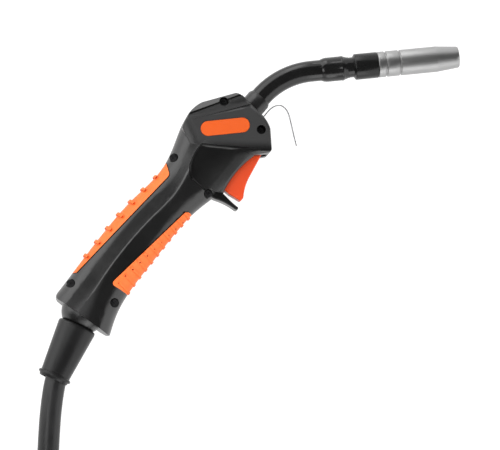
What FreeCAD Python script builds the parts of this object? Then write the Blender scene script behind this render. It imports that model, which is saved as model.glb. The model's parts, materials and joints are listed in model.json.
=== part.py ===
import FreeCAD, Part

import math
import os

import Sketcher
from FreeCAD import Placement, Rotation, Vector

# Driving dimensions, in millimetres and degrees.
# The torch lies on its side: X runs along the photographed width, Y across it, Z up.
SIZES = {
    # Where the ball joint lies, and how the handle and the neck are turned
    "ball_x": -127.4,
    "ball_y": -75.0,
    "lying_height": 20.1,
    "handle_angle": 49.7,
    "neck_bend": 43.4,
    "boot_angle": 245.8,
    # Handle shells
    "grip_half_thickness": 18.5,
    "head_half_thickness": 20.0,
    "shell_wall": 2.6,
    "shoulder_share": 0.86,
    "corner_run": 11.0,
    "rear_face_distance": 5.0,
    "rear_face_tilt": 5.2,
    "trigger_slot_half": 7.0,
    "scoop_floor": 11.8,
    "scoop_roller_radius": 50.0,
    "scoop_axis_v": 2.0,
    "jaw_half_thickness": 16.8,
    "crease_slope": 0.35,
    "crown_slope": 0.75,
    "cheek_slope": 0.3,
    "crease_depth": 1.4,
    "ridge_height": 0.35,
    "ridge_half_width": 0.7,
    "badge_length": 38.0,
    "badge_width": 11.8,
    "badge_depth": 1.2,
    "badge_u": 175.1,
    "badge_v": 9.8,
    "badge_turn": -43.2,
    "channel_half": 9.6,
    # Grip pads
    "pad_depth": 2.2,
    "pad_gap": 0.8,
        "back_rib_height": 1.6,
    "back_rib_width": 2.4,
    "back_rib_pitch": 13.4,
    "front_rib_height": 0.9,
    "front_rib_width": 1.8,
    "front_rib_pitch": 7.3,
    # Shell screws
    "screw_recess_radius": 3.5,
    "screw_recess_floor": 8.0,
    "screw_post_radius": 5.0,
    "screw_head_radius": 2.9,
    "screw_head_height": 2.2,
    "screw_shank_radius": 1.5,
    "screw_reach": 11.0,
    # Trigger and switch
    "pivot_u": 174.5,
    "pivot_v": -14.6,
    "pivot_pin_radius": 1.5,
    "pivot_pin_half": 10.5,
    "running_gap": 0.05,
    "side_gap": 0.5,
    "switch_length": 20.0,
    "switch_height": 7.0,
    "switch_thickness": 6.4,
    "switch_u": 148.0,
    "switch_v": -12.6,
    "button_u": 5.0,
    "button_radius": 1.2,
    "button_out": 3.9,
    "button_inside": 3.6,
    "switch_pin_radius": 1.1,
    "switch_pin_inset": 2.4,
    "spring_u": 143.5,
    "spring_seat_v": -5.05,
    "spring_length": 17.1,
    "spring_radius": 2.0,
    "spring_wire_radius": 0.25,
    # Swan neck
    "neck_v": 4.2,
    "neck_corner_u": 236.9,
    "neck_bend_radius": 60.0,
    "neck_radius": 8.1,
    "neck_core_radius": 6.0,
    "neck_bore_radius": 2.4,
    "neck_tail_u": 170.0,
    "liner_radius": 2.3,
    "liner_bore": 1.0,
    "holder_seat": 97.0,
    "collar_start_u": 193.6,
    "collar_end_u": 212.8,
    "collar_radius": 9.4,
    "swell_start": 34.0,
    "swell_end": 49.0,
    "swell_radius": 9.4,
    "throat_radius": 7.8,
    "cover_end": 56.6,
    # Front end, measured along the front axis from the neck's corner
    "insulator_start": 56.6,
    "insulator_end": 75.3,
    "insulator_radius": 10.0,
    "nozzle_start": 75.6,
    "nozzle_length": 63.2,
    "nozzle_radius": 9.9,
    "nozzle_wall": 1.6,
    "nozzle_mouth_radius": 8.2,
    "nozzle_taper_length": 17.5,
    "groove_one": 5.4,
    "groove_two": 16.2,
    "groove_width": 1.6,
    "groove_depth": 0.9,
    "holder_radius": 4.6,
    "holder_length": 36.0,
    "holder_gas_radius": 3.2,
    "tip_radius": 4.0,
    "tip_length": 30.0,
    "tip_bore_radius": 0.65,
    "tip_thread_radius": 2.9,
    "diffuser_radius": 6.6,
    "diffuser_length": 16.0,
    "bush_length": 17.0,
    # Cable fittings inside the handle
    "nut_radius": 8.6,
    "nut_length": 12.0,
    "crimp_radius": 7.6,
    "crimp_length": 22.0,
    "inner_cable_radius": 6.4,
    # Hanger hook
    "wire_radius": 0.7,
    # Ball joint and boot
    "ball_radius": 17.2,
    "ball_gap": 0.3,
    "ball_neck_radius": 10.4,
    "boot_start": 12.0,
    "boot_length": 41.0,
    "boot_radius": 15.0,
    "boot_tip_radius": 11.3,
    "boot_ring_length": 4.0,
    "boot_flange": 1.8,
    "boot_ring_radius": 12.8,
    "boot_bore_radius": 8.5,
    "boot_mouth_radius": 10.4,
    # Cable, coil and ties
    "cable_radius": 8.2,
    "cable_start": 26.0,
    "coil_height": 9.4,
    "coil_from_ball_x": 80.3,
    "coil_from_ball_y": -236.0,
    "coil_outer_radius": 109.0,
    "coil_pitch": 17.2,
    "layer_rise": 17.0,
    "coil_turns": 5.25,
    "tie_width": 20.0,
    "tie_thickness": 1.0,
    "tie_slack": 1.7,
    # Central connector at the far end
    "end_straight": 38.0,
    "plug_boot_length": 56.0,
    "plug_boot_radius": 10.0,
    "plug_boot_end_radius": 13.0,
    "plug_shell_radius": 17.0,
    "plug_shell_length": 52.0,
    "plug_shell_wall": 2.2,
    "plug_screw_radius": 1.4,
    "plug_screw_head": 2.6,
    "plug_nut_radius": 25.6,
    "plug_nut_length": 34.0,
    "plug_nut_wall": 4.0,
    "plug_hub_radius": 15.0,
    "plug_nut_bore": 20.0,
    "plug_body_radius": 13.0,
    "plug_pipe_radius": 5.0,
    "plug_pipe_bore": 2.4,
    "plug_pipe_length": 22.0,
    "contact_pin_radius": 2.0,
    "contact_pin_offset": 8.6,
    "contact_pin_out": 9.0,
    "contact_pin_inside": 8.0,
    "contact_pin_travel": 3.0,
    "contact_spring_rest": 3.0,
}

document = FreeCAD.newDocument("welding_torch")
sheet = document.addObject("Spreadsheet::Sheet", "Sizes")
for row, (alias, number) in enumerate(SIZES.items(), start=1):
    sheet.set(f"A{row}", alias)
    sheet.set(f"B{row}", str(number))
    sheet.setAlias(f"B{row}", alias)
document.recompute()


class Size:
    """A length or angle that knows both its number and its spreadsheet expression."""

    def __init__(self, number, text=None):
        self.number = float(number)
        self.text = text or f"{float(number):.6f}"

    def __add__(self, other):
        other = size(other)
        return Size(self.number + other.number, f"({self.text} + {other.text})")

    def __sub__(self, other):
        other = size(other)
        return Size(self.number - other.number, f"({self.text} - {other.text})")

    def __mul__(self, other):
        other = size(other)
        return Size(self.number * other.number, f"({self.text} * {other.text})")

    def __truediv__(self, other):
        other = size(other)
        return Size(self.number / other.number, f"({self.text} / {other.text})")

    def __neg__(self):
        return size(0) - self

    def __radd__(self, other):
        return size(other) + self

    def __rsub__(self, other):
        return size(other) - self

    def __rmul__(self, other):
        return size(other) * self

    def __rtruediv__(self, other):
        return size(other) / self


def size(value):
    return value if isinstance(value, Size) else Size(value)


def cosine(angle):
    return Size(math.cos(math.radians(angle.number)), f"cos({angle.text})")


def sine(angle):
    return Size(math.sin(math.radians(angle.number)), f"sin({angle.text})")


def tangent(angle):
    return Size(math.tan(math.radians(angle.number)), f"tan({angle.text})")


def root(value):
    return Size(math.sqrt(value.number), f"sqrt({value.text})")


class Cells:
    """Every spreadsheet cell as a Size, by its alias."""

    def __getattr__(self, alias):
        return Size(sheet.get(alias), f"Sizes.{alias}")


cell = Cells()


class Frame:
    """A flat local frame: an origin in the row frame, and a turn about Z."""

    def __init__(self, x, y, z, angle):
        self.x, self.y, self.z, self.angle = size(x), size(y), size(z), size(angle)

    def moved(self, u, v, up=0, turn=0):
        u, v = size(u), size(v)
        along, across = cosine(self.angle), sine(self.angle)
        return Frame(
            self.x + u * along - v * across,
            self.y + u * across + v * along,
            self.z + up,
            self.angle + turn,
        )

    def point(self, u, v, up=0):
        spot = self.moved(u, v, up)
        return Vector(spot.x.number, spot.y.number, spot.z.number)

    def placement(self):
        turn = Rotation(Vector(0, 0, 1), self.angle.number)
        return Placement(Vector(self.x.number, self.y.number, self.z.number), turn)


handle = Frame(cell.ball_x, cell.ball_y, cell.lying_height, cell.handle_angle)
front = handle.moved(cell.neck_corner_u, cell.neck_v, turn=-cell.neck_bend)
tail = Frame(cell.ball_x, cell.ball_y, cell.lying_height, cell.boot_angle)

subparts = []


def keep(piece, label):
    """Give a finished sub-part its label and put it on the list of files."""
    piece.Label = label
    subparts.append(piece)
    return piece


def new_body(name, frame):
    body = document.addObject("PartDesign::Body", name)
    body.setExpression("Placement.Base.x", frame.x.text)
    body.setExpression("Placement.Base.y", frame.y.text)
    body.setExpression("Placement.Base.z", frame.z.text)
    body.setExpression("Placement.Rotation.Angle", frame.angle.text)
    return body


def new_sketch(body, name, plane="XY_Plane", offset=None):
    """A sketch on one of the body's own origin planes, lifted off it by offset."""
    sketch = body.newObject("Sketcher::SketchObject", name)
    support = [item for item in body.Origin.OriginFeatures if item.Role == plane][0]
    sketch.AttachmentSupport = (support, [""])
    sketch.MapMode = "FlatFace"
    if offset is not None:
        sketch.setExpression("AttachmentOffset.Base.z", size(offset).text)
    return sketch


def fix(sketch, kind, references, value):
    index = sketch.addConstraint(Sketcher.Constraint(kind, *references, value.number))
    sketch.setExpression(f"Constraints[{index}]", value.text)


def fix_point(sketch, geometry, end, x, y):
    fix(sketch, "DistanceX", (-1, 1, geometry, end), size(x))
    fix(sketch, "DistanceY", (-1, 1, geometry, end), size(y))


def outline(sketch, corners, closed=True):
    """A row of lines and arcs. A corner is (x, y), or (x, y, sagitta) where an arc leads to it.

    A positive sagitta bulges to the right of the way from the last corner to this one.
    """
    first = sketch.GeometryCount
    reached = corners if closed else corners[1:]
    count = len(reached)
    ends = []
    for index, stop in enumerate(reached):
        start = corners[index] if not closed else corners[index - 1]
        p = Vector(size(start[0]).number, size(start[1]).number, 0)
        q = Vector(size(stop[0]).number, size(stop[1]).number, 0)
        if len(stop) == 2:
            sketch.addGeometry(Part.LineSegment(p, q))
            ends.append((1, 2, None))
            continue
        rise = size(stop[2])
        chord = q - p
        side = Vector(chord.y, -chord.x, 0).normalize()
        middle = (p + q) * 0.5 + side * rise.number
        arc = Part.Arc(p, middle, q) if rise.number > 0 else Part.Arc(q, middle, p)
        sketch.addGeometry(arc)
        across = size(stop[0]) - start[0]
        down = size(stop[1]) - start[1]
        half_square = (across * across + down * down) / 4
        radius = (half_square + rise * rise) / (2 * rise)
        radius = radius if rise.number > 0 else -radius
        ends.append((1, 2, radius) if rise.number > 0 else (2, 1, radius))
    joints = range(count) if closed else range(count - 1)
    for index in joints:
        here, there = first + index, first + (index + 1) % count
        leaving, meeting = ends[index][1], ends[(index + 1) % count][0]
        sketch.addConstraint(Sketcher.Constraint("Coincident", here, leaving, there, meeting))
    for index, corner in enumerate(reached):
        fix_point(sketch, first + index, ends[index][1], corner[0], corner[1])
    if not closed:
        fix_point(sketch, first, ends[0][0], corners[0][0], corners[0][1])
    for index in range(count):
        if ends[index][2] is not None:
            fix(sketch, "Radius", (first + index,), ends[index][2])


def circle(sketch, radius, x=0, y=0):
    spot = Vector(size(x).number, size(y).number, 0)
    index = sketch.addGeometry(Part.Circle(spot, Vector(0, 0, 1), size(radius).number))
    if size(x).number == 0 and size(y).number == 0:
        sketch.addConstraint(Sketcher.Constraint("Coincident", index, 3, -1, 1))
    else:
        fix_point(sketch, index, 3, x, y)
    fix(sketch, "Radius", (index,), size(radius))


def slab(name, frame, corners, low, high, plane="XY_Plane"):
    """A flat outline raised between two heights above its plane."""
    body = new_body(name, frame)
    sketch = new_sketch(body, f"{name}_outline", plane, low)
    outline(sketch, corners)
    pad = body.newObject("PartDesign::Pad", f"{name}_pad")
    pad.Profile = sketch
    pad.setExpression("Length", (size(high) - low).text)
    return body


def turned(name, frame, profile):
    """A piece turned about its own X axis, from (distance, radius) corners."""
    body = new_body(name, frame)
    sketch = new_sketch(body, f"{name}_profile")
    outline(sketch, profile)
    turning = body.newObject("PartDesign::Revolution", f"{name}_turning")
    turning.Profile = sketch
    turning.ReferenceAxis = (sketch, ["H_Axis"])
    turning.Angle = 360
    return body


def tube(name, frame, start, stop, outer, inner=0):
    if size(inner).number == 0:
        return turned(name, frame, [(start, 0), (stop, 0), (stop, outer), (start, outer)])
    return turned(name, frame, [(start, inner), (stop, inner), (stop, outer), (start, outer)])


def post(name, frame, u, v, radius, low, high):
    """A round column that stands along Z."""
    body = new_body(name, frame.moved(u, v))
    sketch = new_sketch(body, f"{name}_circle", "XY_Plane", low)
    circle(sketch, radius)
    pad = body.newObject("PartDesign::Pad", f"{name}_pad")
    pad.Profile = sketch
    pad.setExpression("Length", (size(high) - low).text)
    return body


def rounded(body, radius, picks):
    """Round the edges for which picks(edge) is true."""
    document.recompute()
    base = body.Tip
    names = [f"Edge{n}" for n, edge in enumerate(base.Shape.Edges, start=1) if picks(edge)]
    fillet = body.newObject("PartDesign::Fillet", f"{body.Name}_rounding")
    fillet.Base = (base, names)
    fillet.setExpression("Radius", size(radius).text)
    return body


def at_height(edge, height):
    return all(abs(vertex.Z - height) < 1e-4 for vertex in edge.Vertexes)


def fuse(name, pieces):
    joined = document.addObject("Part::MultiFuse", name)
    joined.Shapes = pieces
    return joined


def cut(name, base, tool):
    result = document.addObject("Part::Cut", name)
    result.Base = base
    result.Tool = tool
    return result


def common(name, base, tool):
    result = document.addObject("Part::Common", name)
    result.Base = base
    result.Tool = tool
    return result


def group(name, pieces):
    result = document.addObject("Part::Compound", name)
    result.Links = pieces
    return result


# The grip is a loft through sections across the handle: how far along it each lies,
# its back and front edge, the ridge along its side, its half thickness as a share,
# and how much of the ridge's height stands there.
GRIP_SECTIONS = [
    (-12.0, 24.0, -30.2, 2.2, 1.08, 0.0),
    (0.0, 24.6, -26.2, 3.0, 1.075, 0.0),
    (14.0, 25.4, -20.6, 4.0, 1.05, 0.5),
    (32.0, 26.6, -16.9, 6.2, 1.01, 1.0),
    (60.0, 27.9, -15.2, 7.8, 1.0, 1.0),
    (90.0, 27.4, -14.2, 6.8, 1.0, 1.0),
    (112.0, 25.4, -15.0, 5.6, 1.0, 1.0),
    (129.0, 26.9, -18.2, 8.6, 1.03, 1.0),
    (146.0, 32.3, -19.8, 12.5, 1.075, 0.0),
    (160.0, 36.7, -19.2, 14.0, 1.08, 0.0),
]


def side_ridge(top, bottom, ridge, side, shoulder, height, turn):
    """The three corners of the raised line where the side's two faces meet."""
    wide = cell.ridge_half_width
    back_fall = (side - shoulder) * wide / (top - ridge)
    front_fall = (side - shoulder) * wide / (ridge - bottom)
    corners = [
        (ridge + wide, turn * (side - back_fall)),
        (ridge, turn * (side + height)),
        (ridge - wide, turn * (side - front_fall)),
    ]
    return corners[::turn]


def grip_form(name, inset=0.0, first=0, last=None, ridged=False):
    """The grip's outer form, drawn in by an inset all round."""
    body = new_body(name, handle)
    sketches = []
    for number, section in enumerate(GRIP_SECTIONS[first:last]):
        along, back, face, ridge, share, ridge_share = section
        sketch = new_sketch(body, f"{name}_section_{number}", "YZ_Plane", along)
        top = size(back) - inset
        bottom = size(face) + inset
        side = cell.grip_half_thickness * share - inset
        shoulder = side * cell.shoulder_share
        run = cell.corner_run
        bulge = run * 0.27
        height = cell.ridge_height * ridge_share
        near_ridge, far_ridge = [(ridge, side)], [(ridge, -side)]
        if ridged:
            near_ridge, far_ridge = (
                side_ridge(top - run, bottom + run, size(ridge), side, shoulder, height, turn)
                for turn in (1, -1)
            )
        outline(
            sketch,
            [
                (top - run, shoulder, bulge),
                *near_ridge,
                (bottom + run, shoulder),
                (bottom, 0, bulge),
                (bottom + run, -shoulder, bulge),
                *far_ridge,
                (top - run, -shoulder),
                (top, 0, bulge),
            ],
        )
        sketches.append(sketch)
    loft = body.newObject("PartDesign::AdditiveLoft", f"{name}_loft")
    loft.Profile = sketches[0]
    loft.Sections = sketches[1:]
    return body


# The head of the handle, seen from the side
HEAD_OUTLINE = [
    (148.0, 22.0),
    (166.0, -10.0),
    (173.4, -20.8),
    (182.2, -28.2),
    (186.4, -27.6, 0.72),
    (197.2, -17.0),
    (201.0, -5.2, 0.7),
    (202.5, 14.2),
    (201.0, 20.6, 0.45),
    (178.8, 35.4),
    (164.0, 37.4, 1.0),
    (153.5, 34.2, 0.4),
]


def head_form():
    body = slab(
        "head_form",
        handle,
        HEAD_OUTLINE,
        -cell.head_half_thickness,
        cell.head_half_thickness,
    )
    high = SIZES["head_half_thickness"]
    return rounded(
        body,
        3.0,
        lambda edge: edge.CenterOfMass.x > 154 and (at_height(edge, high) or at_height(edge, -high)),
    )


def side_cutter(name, start, angle, length, first, last, mirrored):
    """A cutter along a line on the handle's side, between two (across, up) profiles."""
    body = new_body(name, handle.moved(start[0], start[1], turn=angle))
    sketches = []
    for label, along, profile in (("first", 0, first), ("last", length, last)):
        sketch = new_sketch(body, f"{name}_{label}", "YZ_Plane", along)
        corners = [(across, -up if mirrored else up) for across, up in profile]
        outline(sketch, corners[::-1] if mirrored else corners)
        sketches.append(sketch)
    loft = body.newObject("PartDesign::AdditiveLoft", f"{name}_loft")
    loft.Profile = sketches[0]
    loft.Sections = sketches[1:]
    loft.Ruled = True
    return body


# How far the first slope has fallen where the crown's line starts and ends
CROWN_DROPS = (1.52, 3.27)


def crown_profile(edge):
    """A small groove, then the steep slope that ends the head's side."""
    step, wide = 0.55, 16.0
    foot = edge - step - cell.crown_slope * (wide - 0.9)
    return [
        (-0.9, edge + 0.34),
        (-0.1, edge - 0.9),
        (0.9, edge - step),
        (wide, foot),
        (wide, edge + 6),
        (-0.9, edge + 6),
    ]


def crease_profile(depth, wide):
    """A step along the badge's panel, with its floor rising away from it."""
    high = cell.head_half_thickness
    return [(0.0, high + 1), (0.0, high - depth), (-wide, high + 0.05), (-wide, high + 1)]


def head_cutters():
    """The head's two top slopes, their creases, the lip, and the cheek towards the grip."""
    high = cell.head_half_thickness
    slope_width = 20.0
    slope = [
        (0.3, high + 0.01),
        (slope_width, high - cell.crease_slope * slope_width),
        (slope_width, high + 2),
        (0.3, high + 2),
    ]
    lip = [(0.0, high + 0.01), (0.0, high + 2), (-9.4, high + 2), (-9.4, high - 2.0)]
    cheek = [
        (0.0, high + 0.01),
        (slope_width, high - cell.cheek_slope * slope_width),
        (slope_width, high + 2),
        (0.0, high + 2),
    ]
    crown_first, crown_last = (crown_profile(high - drop) for drop in CROWN_DROPS)
    crease_first = crease_profile(0.15, 0.6)
    crease_last = crease_profile(cell.crease_depth, 3.2)
    cutters = []
    for label, mirrored in (("near", False), ("far", True)):
        for kind, spot, angle, length, first, last in (
            ("slope", (159.9, 34.7), -34.4, 60, slope, slope),
            ("crown", (164.7, 37.1), -28.8, 51, crown_first, crown_last),
            ("crease", (163.2, 32.44), -34.4, 53, crease_first, crease_last),
            ("lip", (148.1, 28.2), -49.7, 78, lip, lip),
            ("cheek", (150.5, 8.0), 62.7, 45, cheek, cheek),
        ):
            cutters.append(
                side_cutter(f"{kind}_{label}", spot, angle, length, first, last, mirrored)
            )
    return cutters


SCOOP_OUTLINE = [
    (153.9, 15.2),
    (135.6, 11.8, 1.2),
    (127.8, 3.5, 1.0),
    (128.6, -34.0),
    (184.0, -34.0),
    (182.1, -27.0),
    (175.2, -14.2),
]


def scoops():
    tools = []
    for label, low, high in (
        ("near", cell.scoop_floor, cell.scoop_floor + 14),
        ("far", -cell.scoop_floor - 14, -cell.scoop_floor),
    ):
        body = slab(f"scoop_{label}", handle, SCOOP_OUTLINE, low, high)
        side = 1 if label == "near" else -1
        floor = SIZES["scoop_floor"] * side
        rounded(body, 4.0, lambda edge, floor=floor: at_height(edge, floor))
        axis_height = (cell.scoop_floor + cell.scoop_roller_radius) * side
        roller_frame = handle.moved(110, cell.scoop_axis_v, axis_height)
        roller = tube(f"scoop_roller_{label}", roller_frame, 0, 100, cell.scoop_roller_radius)
        tools.append(common(f"hollow_scoop_{label}", body, roller))
    return tools


def jaw():
    """The wall beside the trigger, which ends in a long hollow curve along it."""
    corners = [
        (150.0, 6.0),
        (134.0, -8.0),
        (132.6, -16.0),
        (136.6, -22.0),
        (177.3, -22.3, -3.0),
        (180.0, -16.0),
        (170.0, -4.0),
    ]
    high = SIZES["jaw_half_thickness"]
    body = slab("jaw", handle, corners, -cell.jaw_half_thickness, cell.jaw_half_thickness)
    return rounded(
        body,
        4.5,
        lambda edge: (at_height(edge, high) or at_height(edge, -high))
        and 150 < edge.CenterOfMass.x < 170 and edge.CenterOfMass.y < -15,
    )


def guard_finger():
    corners = [
        (137.2, -16.0),
        (126.0, -12.0),
        (129.4, -19.6, -0.5),
        (133.6, -37.0, -0.8),
        (136.4, -37.4, 1.2),
        (136.7, -26.0, -0.3),
    ]
    body = slab("guard_finger", handle, corners, -cell.trigger_slot_half, cell.trigger_slot_half)
    return rounded(body, 1.2, lambda edge: at_height(edge, SIZES["trigger_slot_half"])
                   or at_height(edge, -SIZES["trigger_slot_half"]))


BACK_PAD_OUTLINE = [
    (16.2, 45.0),
    (15.8, 25.7),
    (17.8, 23.4),
    (117.6, 18.2),
    (121.0, 19.4, 0.4),
    (126.4, 26.2),
    (126.4, 45.0),
]
FRONT_PAD_OUTLINE = [
    (30.8, -35.0),
    (108.8, -35.0),
    (108.8, -13.6),
    (107.2, -10.4, 0.4),
    (104.6, -9.4, 0.3),
    (30.4, -2.2),
    (28.2, -4.8, 0.6),
    (30.6, -17.6),
]


def pad_region(name, corners, gap=0.0):
    reach = cell.head_half_thickness + 5
    return slab(name, handle.moved(0, gap), corners, -reach, reach)


def rib_slabs(name, first, width, pitch, count, low, high):
    """Cross slabs that pick the ribs out of a slightly larger grip form."""
    body = new_body(name, handle)
    sketch = new_sketch(body, f"{name}_outline", "XY_Plane", -cell.head_half_thickness)
    outline(
        sketch,
        [(first, low), (size(first) + width, low), (size(first) + width, high), (first, high)],
    )
    pad = body.newObject("PartDesign::Pad", f"{name}_pad")
    pad.Profile = sketch
    pad.setExpression("Length", (2 * cell.head_half_thickness).text)
    document.recompute()
    pattern = body.newObject("PartDesign::LinearPattern", f"{name}_pattern")
    pattern.Originals = [pad]
    pattern.Direction = (sketch, ["H_Axis"])
    pattern.setExpression("Length", (size(pitch) * (count - 1)).text)
    pattern.Occurrences = count
    body.Tip = pattern
    return body


outer_form = grip_form("outer_form", ridged=True)
back_rib_form = grip_form("back_rib_form", -cell.back_rib_height, 1, 8)
front_rib_form = grip_form("front_rib_form", -cell.front_rib_height, 1, 8)
pad_floor_form = grip_form("pad_floor_form", cell.pad_depth, 1, 8)
room_form = grip_form("room_form", cell.pad_depth + cell.shell_wall, 2, 8)

head_block = cut("head_block", head_form(), fuse("head_cutting", head_cutters()))
whole_form = fuse("whole_form", [outer_form, head_block, jaw(), guard_finger()])
scooped_form = cut("scooped_form", whole_form, fuse("scooping", scoops()))

back_region = pad_region("back_region", BACK_PAD_OUTLINE)
front_region = pad_region("front_region", FRONT_PAD_OUTLINE)
skin = cut("skin", outer_form, pad_floor_form)
back_skin = common("back_skin", skin, back_region)
front_skin = common("front_skin", skin, front_region)
back_gap_region = pad_region("back_gap_region", BACK_PAD_OUTLINE, -cell.pad_gap)
front_gap_region = pad_region("front_gap_region", FRONT_PAD_OUTLINE, cell.pad_gap)
back_recess = common("back_recess", skin, fuse("back_room", [back_region, back_gap_region]))
front_recess = common("front_recess", skin, fuse("front_room", [front_region, front_gap_region]))


def pad_with_ribs(name, skin_piece, region, rib_form, slabs):
    ribs = common(f"{name}_ribs", cut(f"{name}_rim", rib_form, pad_floor_form), slabs)
    trimmed = common(f"{name}_trimmed", ribs, region)
    return keep(fuse(name, [skin_piece, trimmed]), name)


back_slabs = rib_slabs(
    "back_slabs", 31.4, cell.back_rib_width, cell.back_rib_pitch, 7, 25.0, 40.0
)
front_slabs = rib_slabs(
    "front_slabs", 31.6, cell.front_rib_width, cell.front_rib_pitch, 11, -30.0, -6.0
)
pad_with_ribs("back_grip_pad", back_skin, back_region, back_rib_form, back_slabs)
pad_with_ribs("front_grip_pad", front_skin, front_region, front_rib_form, front_slabs)

# Rooms inside the shells: the grip's hollow, the head's, and the trigger's slot
head_room = slab(
    "head_room",
    handle,
    [
        (108.0, -8.5),
        (128.0, -6.0),
        (136.0, -2.6),
        (146.2, -2.6),
        (147.4, -5.5),
        (194.6, -5.5),
        (194.6, 13.9),
        (173.6, 27.0),
        (158.0, 28.0),
        (134.0, 15.0),
        (108.0, 18.0),
    ],
    -cell.channel_half,
    cell.channel_half,
)
TRIGGER_ROOM = [
    (136.9, -50.0),
    (188.0, -50.0),
    (181.6, -24.0),
    (181.6, -9.0),
    (176.0, -5.0),
    (138.0, -5.0),
    (138.0, -24.0),
]
trigger_room = slab(
    "trigger_room", handle, TRIGGER_ROOM, -cell.trigger_slot_half, cell.trigger_slot_half
)
neck_seat = tube(
    "neck_seat",
    handle.moved(0, cell.neck_v),
    cell.collar_start_u,
    cell.collar_end_u + 2.5,
    cell.collar_radius,
)


def ball(name, frame, radius):
    """A sphere about the frame's origin."""
    rise = size(radius) * (1 - math.sqrt(0.5))
    corners = [(-size(radius), 0, rise), (radius, 0), (0, radius, rise)]
    return turned(name, frame, corners)


# Shell screws: where each stands, and the height of the recess that its head lies in
SCREW_SPOTS = [
    (189.6, 23.2),
    (191.5, -12.4),
    (128.6, -13.6),
    (132.4, 24.6),
    (8.6, 21.6),
    (18.9, -13.5),
]


def screw_posts():
    posts = []
    reach = cell.head_half_thickness - 3
    for number, (u, v) in enumerate(SCREW_SPOTS):
        posts.append(
            post(f"screw_post_{number}", handle, u, v, cell.screw_post_radius, -reach, reach)
        )
    return fuse("screw_posts", posts)


def screw_holes():
    holes = []
    top = cell.head_half_thickness + 2
    floor = cell.screw_recess_floor
    for number, (u, v) in enumerate(SCREW_SPOTS):
        holes.append(
            post(f"recess_{number}", handle, u, v, cell.screw_recess_radius, floor, top)
        )
        holes.append(
            post(
                f"screw_hole_{number}",
                handle,
                u,
                v,
                cell.screw_shank_radius,
                floor - cell.screw_reach,
                floor + 1,
            )
        )
    return fuse("screw_holes", holes)


def shell_screws():
    screws = []
    floor = cell.screw_recess_floor
    for number, (u, v) in enumerate(SCREW_SPOTS):
        shank = post(
            f"screw_shank_{number}",
            handle,
            u,
            v,
            cell.screw_shank_radius,
            floor - cell.screw_reach,
            floor,
        )
        top = floor + cell.screw_head_height
        screw_head = post(f"screw_head_{number}", handle, u, v, cell.screw_head_radius, floor, top)
        slots = []
        for turn in (0, 90):
            length, width = cell.screw_head_radius * 0.65, 0.35
            corners = [(-length, -width), (length, -width), (length, width), (-length, width)]
            spot = handle.moved(u, v, turn=turn)
            slots.append(slab(f"screw_slot_{number}_{turn}", spot, corners, top - 1.1, top + 1))
        whole = fuse(f"screw_whole_{number}", [shank, screw_head])
        screws.append(cut(f"screw_{number}", whole, fuse(f"screw_cross_{number}", slots)))
    return keep(group("shell_screws", screws), "shell_screws")


def stadium(half_length, half_width):
    """A long hole with round ends."""
    straight = size(half_length) - half_width
    return [
        (straight, -half_width),
        (straight, half_width, size(half_width) * 0.999),
        (-straight, half_width),
        (-straight, -half_width, size(half_width) * 0.999),
    ]


def badge_slab(name, gap, low, high):
    spot = handle.moved(cell.badge_u, cell.badge_v, turn=cell.badge_turn)
    corners = stadium(cell.badge_length / 2 - gap, cell.badge_width / 2 - gap)
    return slab(name, spot, corners, low, high)


side = cell.head_half_thickness
badge_recesses = [
    badge_slab("near_recess", 0.0, side - cell.badge_depth, side + 1),
    badge_slab("far_recess", 0.0, -side - 1, cell.badge_depth - side),
]
for badge_name, low, high in (
    ("near_badge", side - cell.badge_depth, side - 0.1),
    ("far_badge", 0.1 - side, cell.badge_depth - side),
):
    badge = badge_slab(badge_name, 0.12, low, high)
    outer = SIZES["head_half_thickness"] - 0.1
    rounded(badge, 0.5, lambda edge: at_height(edge, outer) or at_height(edge, -outer))
    keep(badge, badge_name)

pivot = handle.moved(cell.pivot_u, cell.pivot_v)
pivot_hole = post(
    "pivot_hole", pivot, 0, 0, cell.pivot_pin_radius, -cell.pivot_pin_half, cell.pivot_pin_half
)
socket = ball("socket", handle, cell.ball_radius + cell.ball_gap)
passage = tube("passage", handle, 8, 32, cell.inner_cable_radius + 3.5)
rear_frame = Frame(
    cell.ball_x,
    cell.ball_y,
    cell.lying_height,
    cell.handle_angle + 180 + cell.rear_face_tilt,
)
rear_cutter = slab(
    "rear_cutter",
    rear_frame,
    [
        (cell.rear_face_distance, -20.2),
        (cell.rear_face_distance - 4, -24.6, -1.2),
        (cell.rear_face_distance - 4, -50),
        (cell.rear_face_distance + 40, -50),
        (cell.rear_face_distance + 40, 50),
        (cell.rear_face_distance - 3, 50),
        (cell.rear_face_distance - 3, 27.4),
        (cell.rear_face_distance, 23.2, -1.0),
    ],
    -30,
    30,
)

# The hanger hook's wire: down in its bore, up over an arch, and a long free leg
HOOK_POINTS = [
    (193.0, -6.4),
    (203.4, -7.4),
    (212.0, -6.2),
    (219.4, -11.2),
    (219.2, -19.0),
    (211.6, -28.6),
    (202.4, -41.0),
]


def wire_along(points, radius, share=0.45, least=0.0):
    """A round wire on straight runs joined by tangent arcs, and each arc's radius."""
    edges, radii, start = [], [], points[0]
    for before, corner, after in zip(points, points[1:], points[2:]):
        come, go = (corner - before), (after - corner)
        half_turn = come.getAngle(go) / 2
        step = share * min(come.Length, go.Length)
        entry = corner - come.normalize() * step
        leave = corner + go.normalize() * step
        bisector = (leave + entry) * 0.5 - corner
        bend = step / math.tan(half_turn)
        radii.append(bend)
        reach = bend / math.cos(half_turn) - bend
        middle = corner + bisector.normalize() * reach
        edges.append(Part.LineSegment(start, entry).toShape())
        edges.append(Part.Arc(entry, middle, leave).toShape())
        start = leave
    edges.append(Part.LineSegment(start, points[-1]).toShape())
    path = Part.Wire(edges)
    return round_tube(path, points[0], points[1] - points[0], radius), path.Length, radii


def round_tube(path, start, direction, radius):
    section = Part.Wire([Part.makeCircle(radius, start, direction)])
    return path.makePipeShell([section], True, False)


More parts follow.
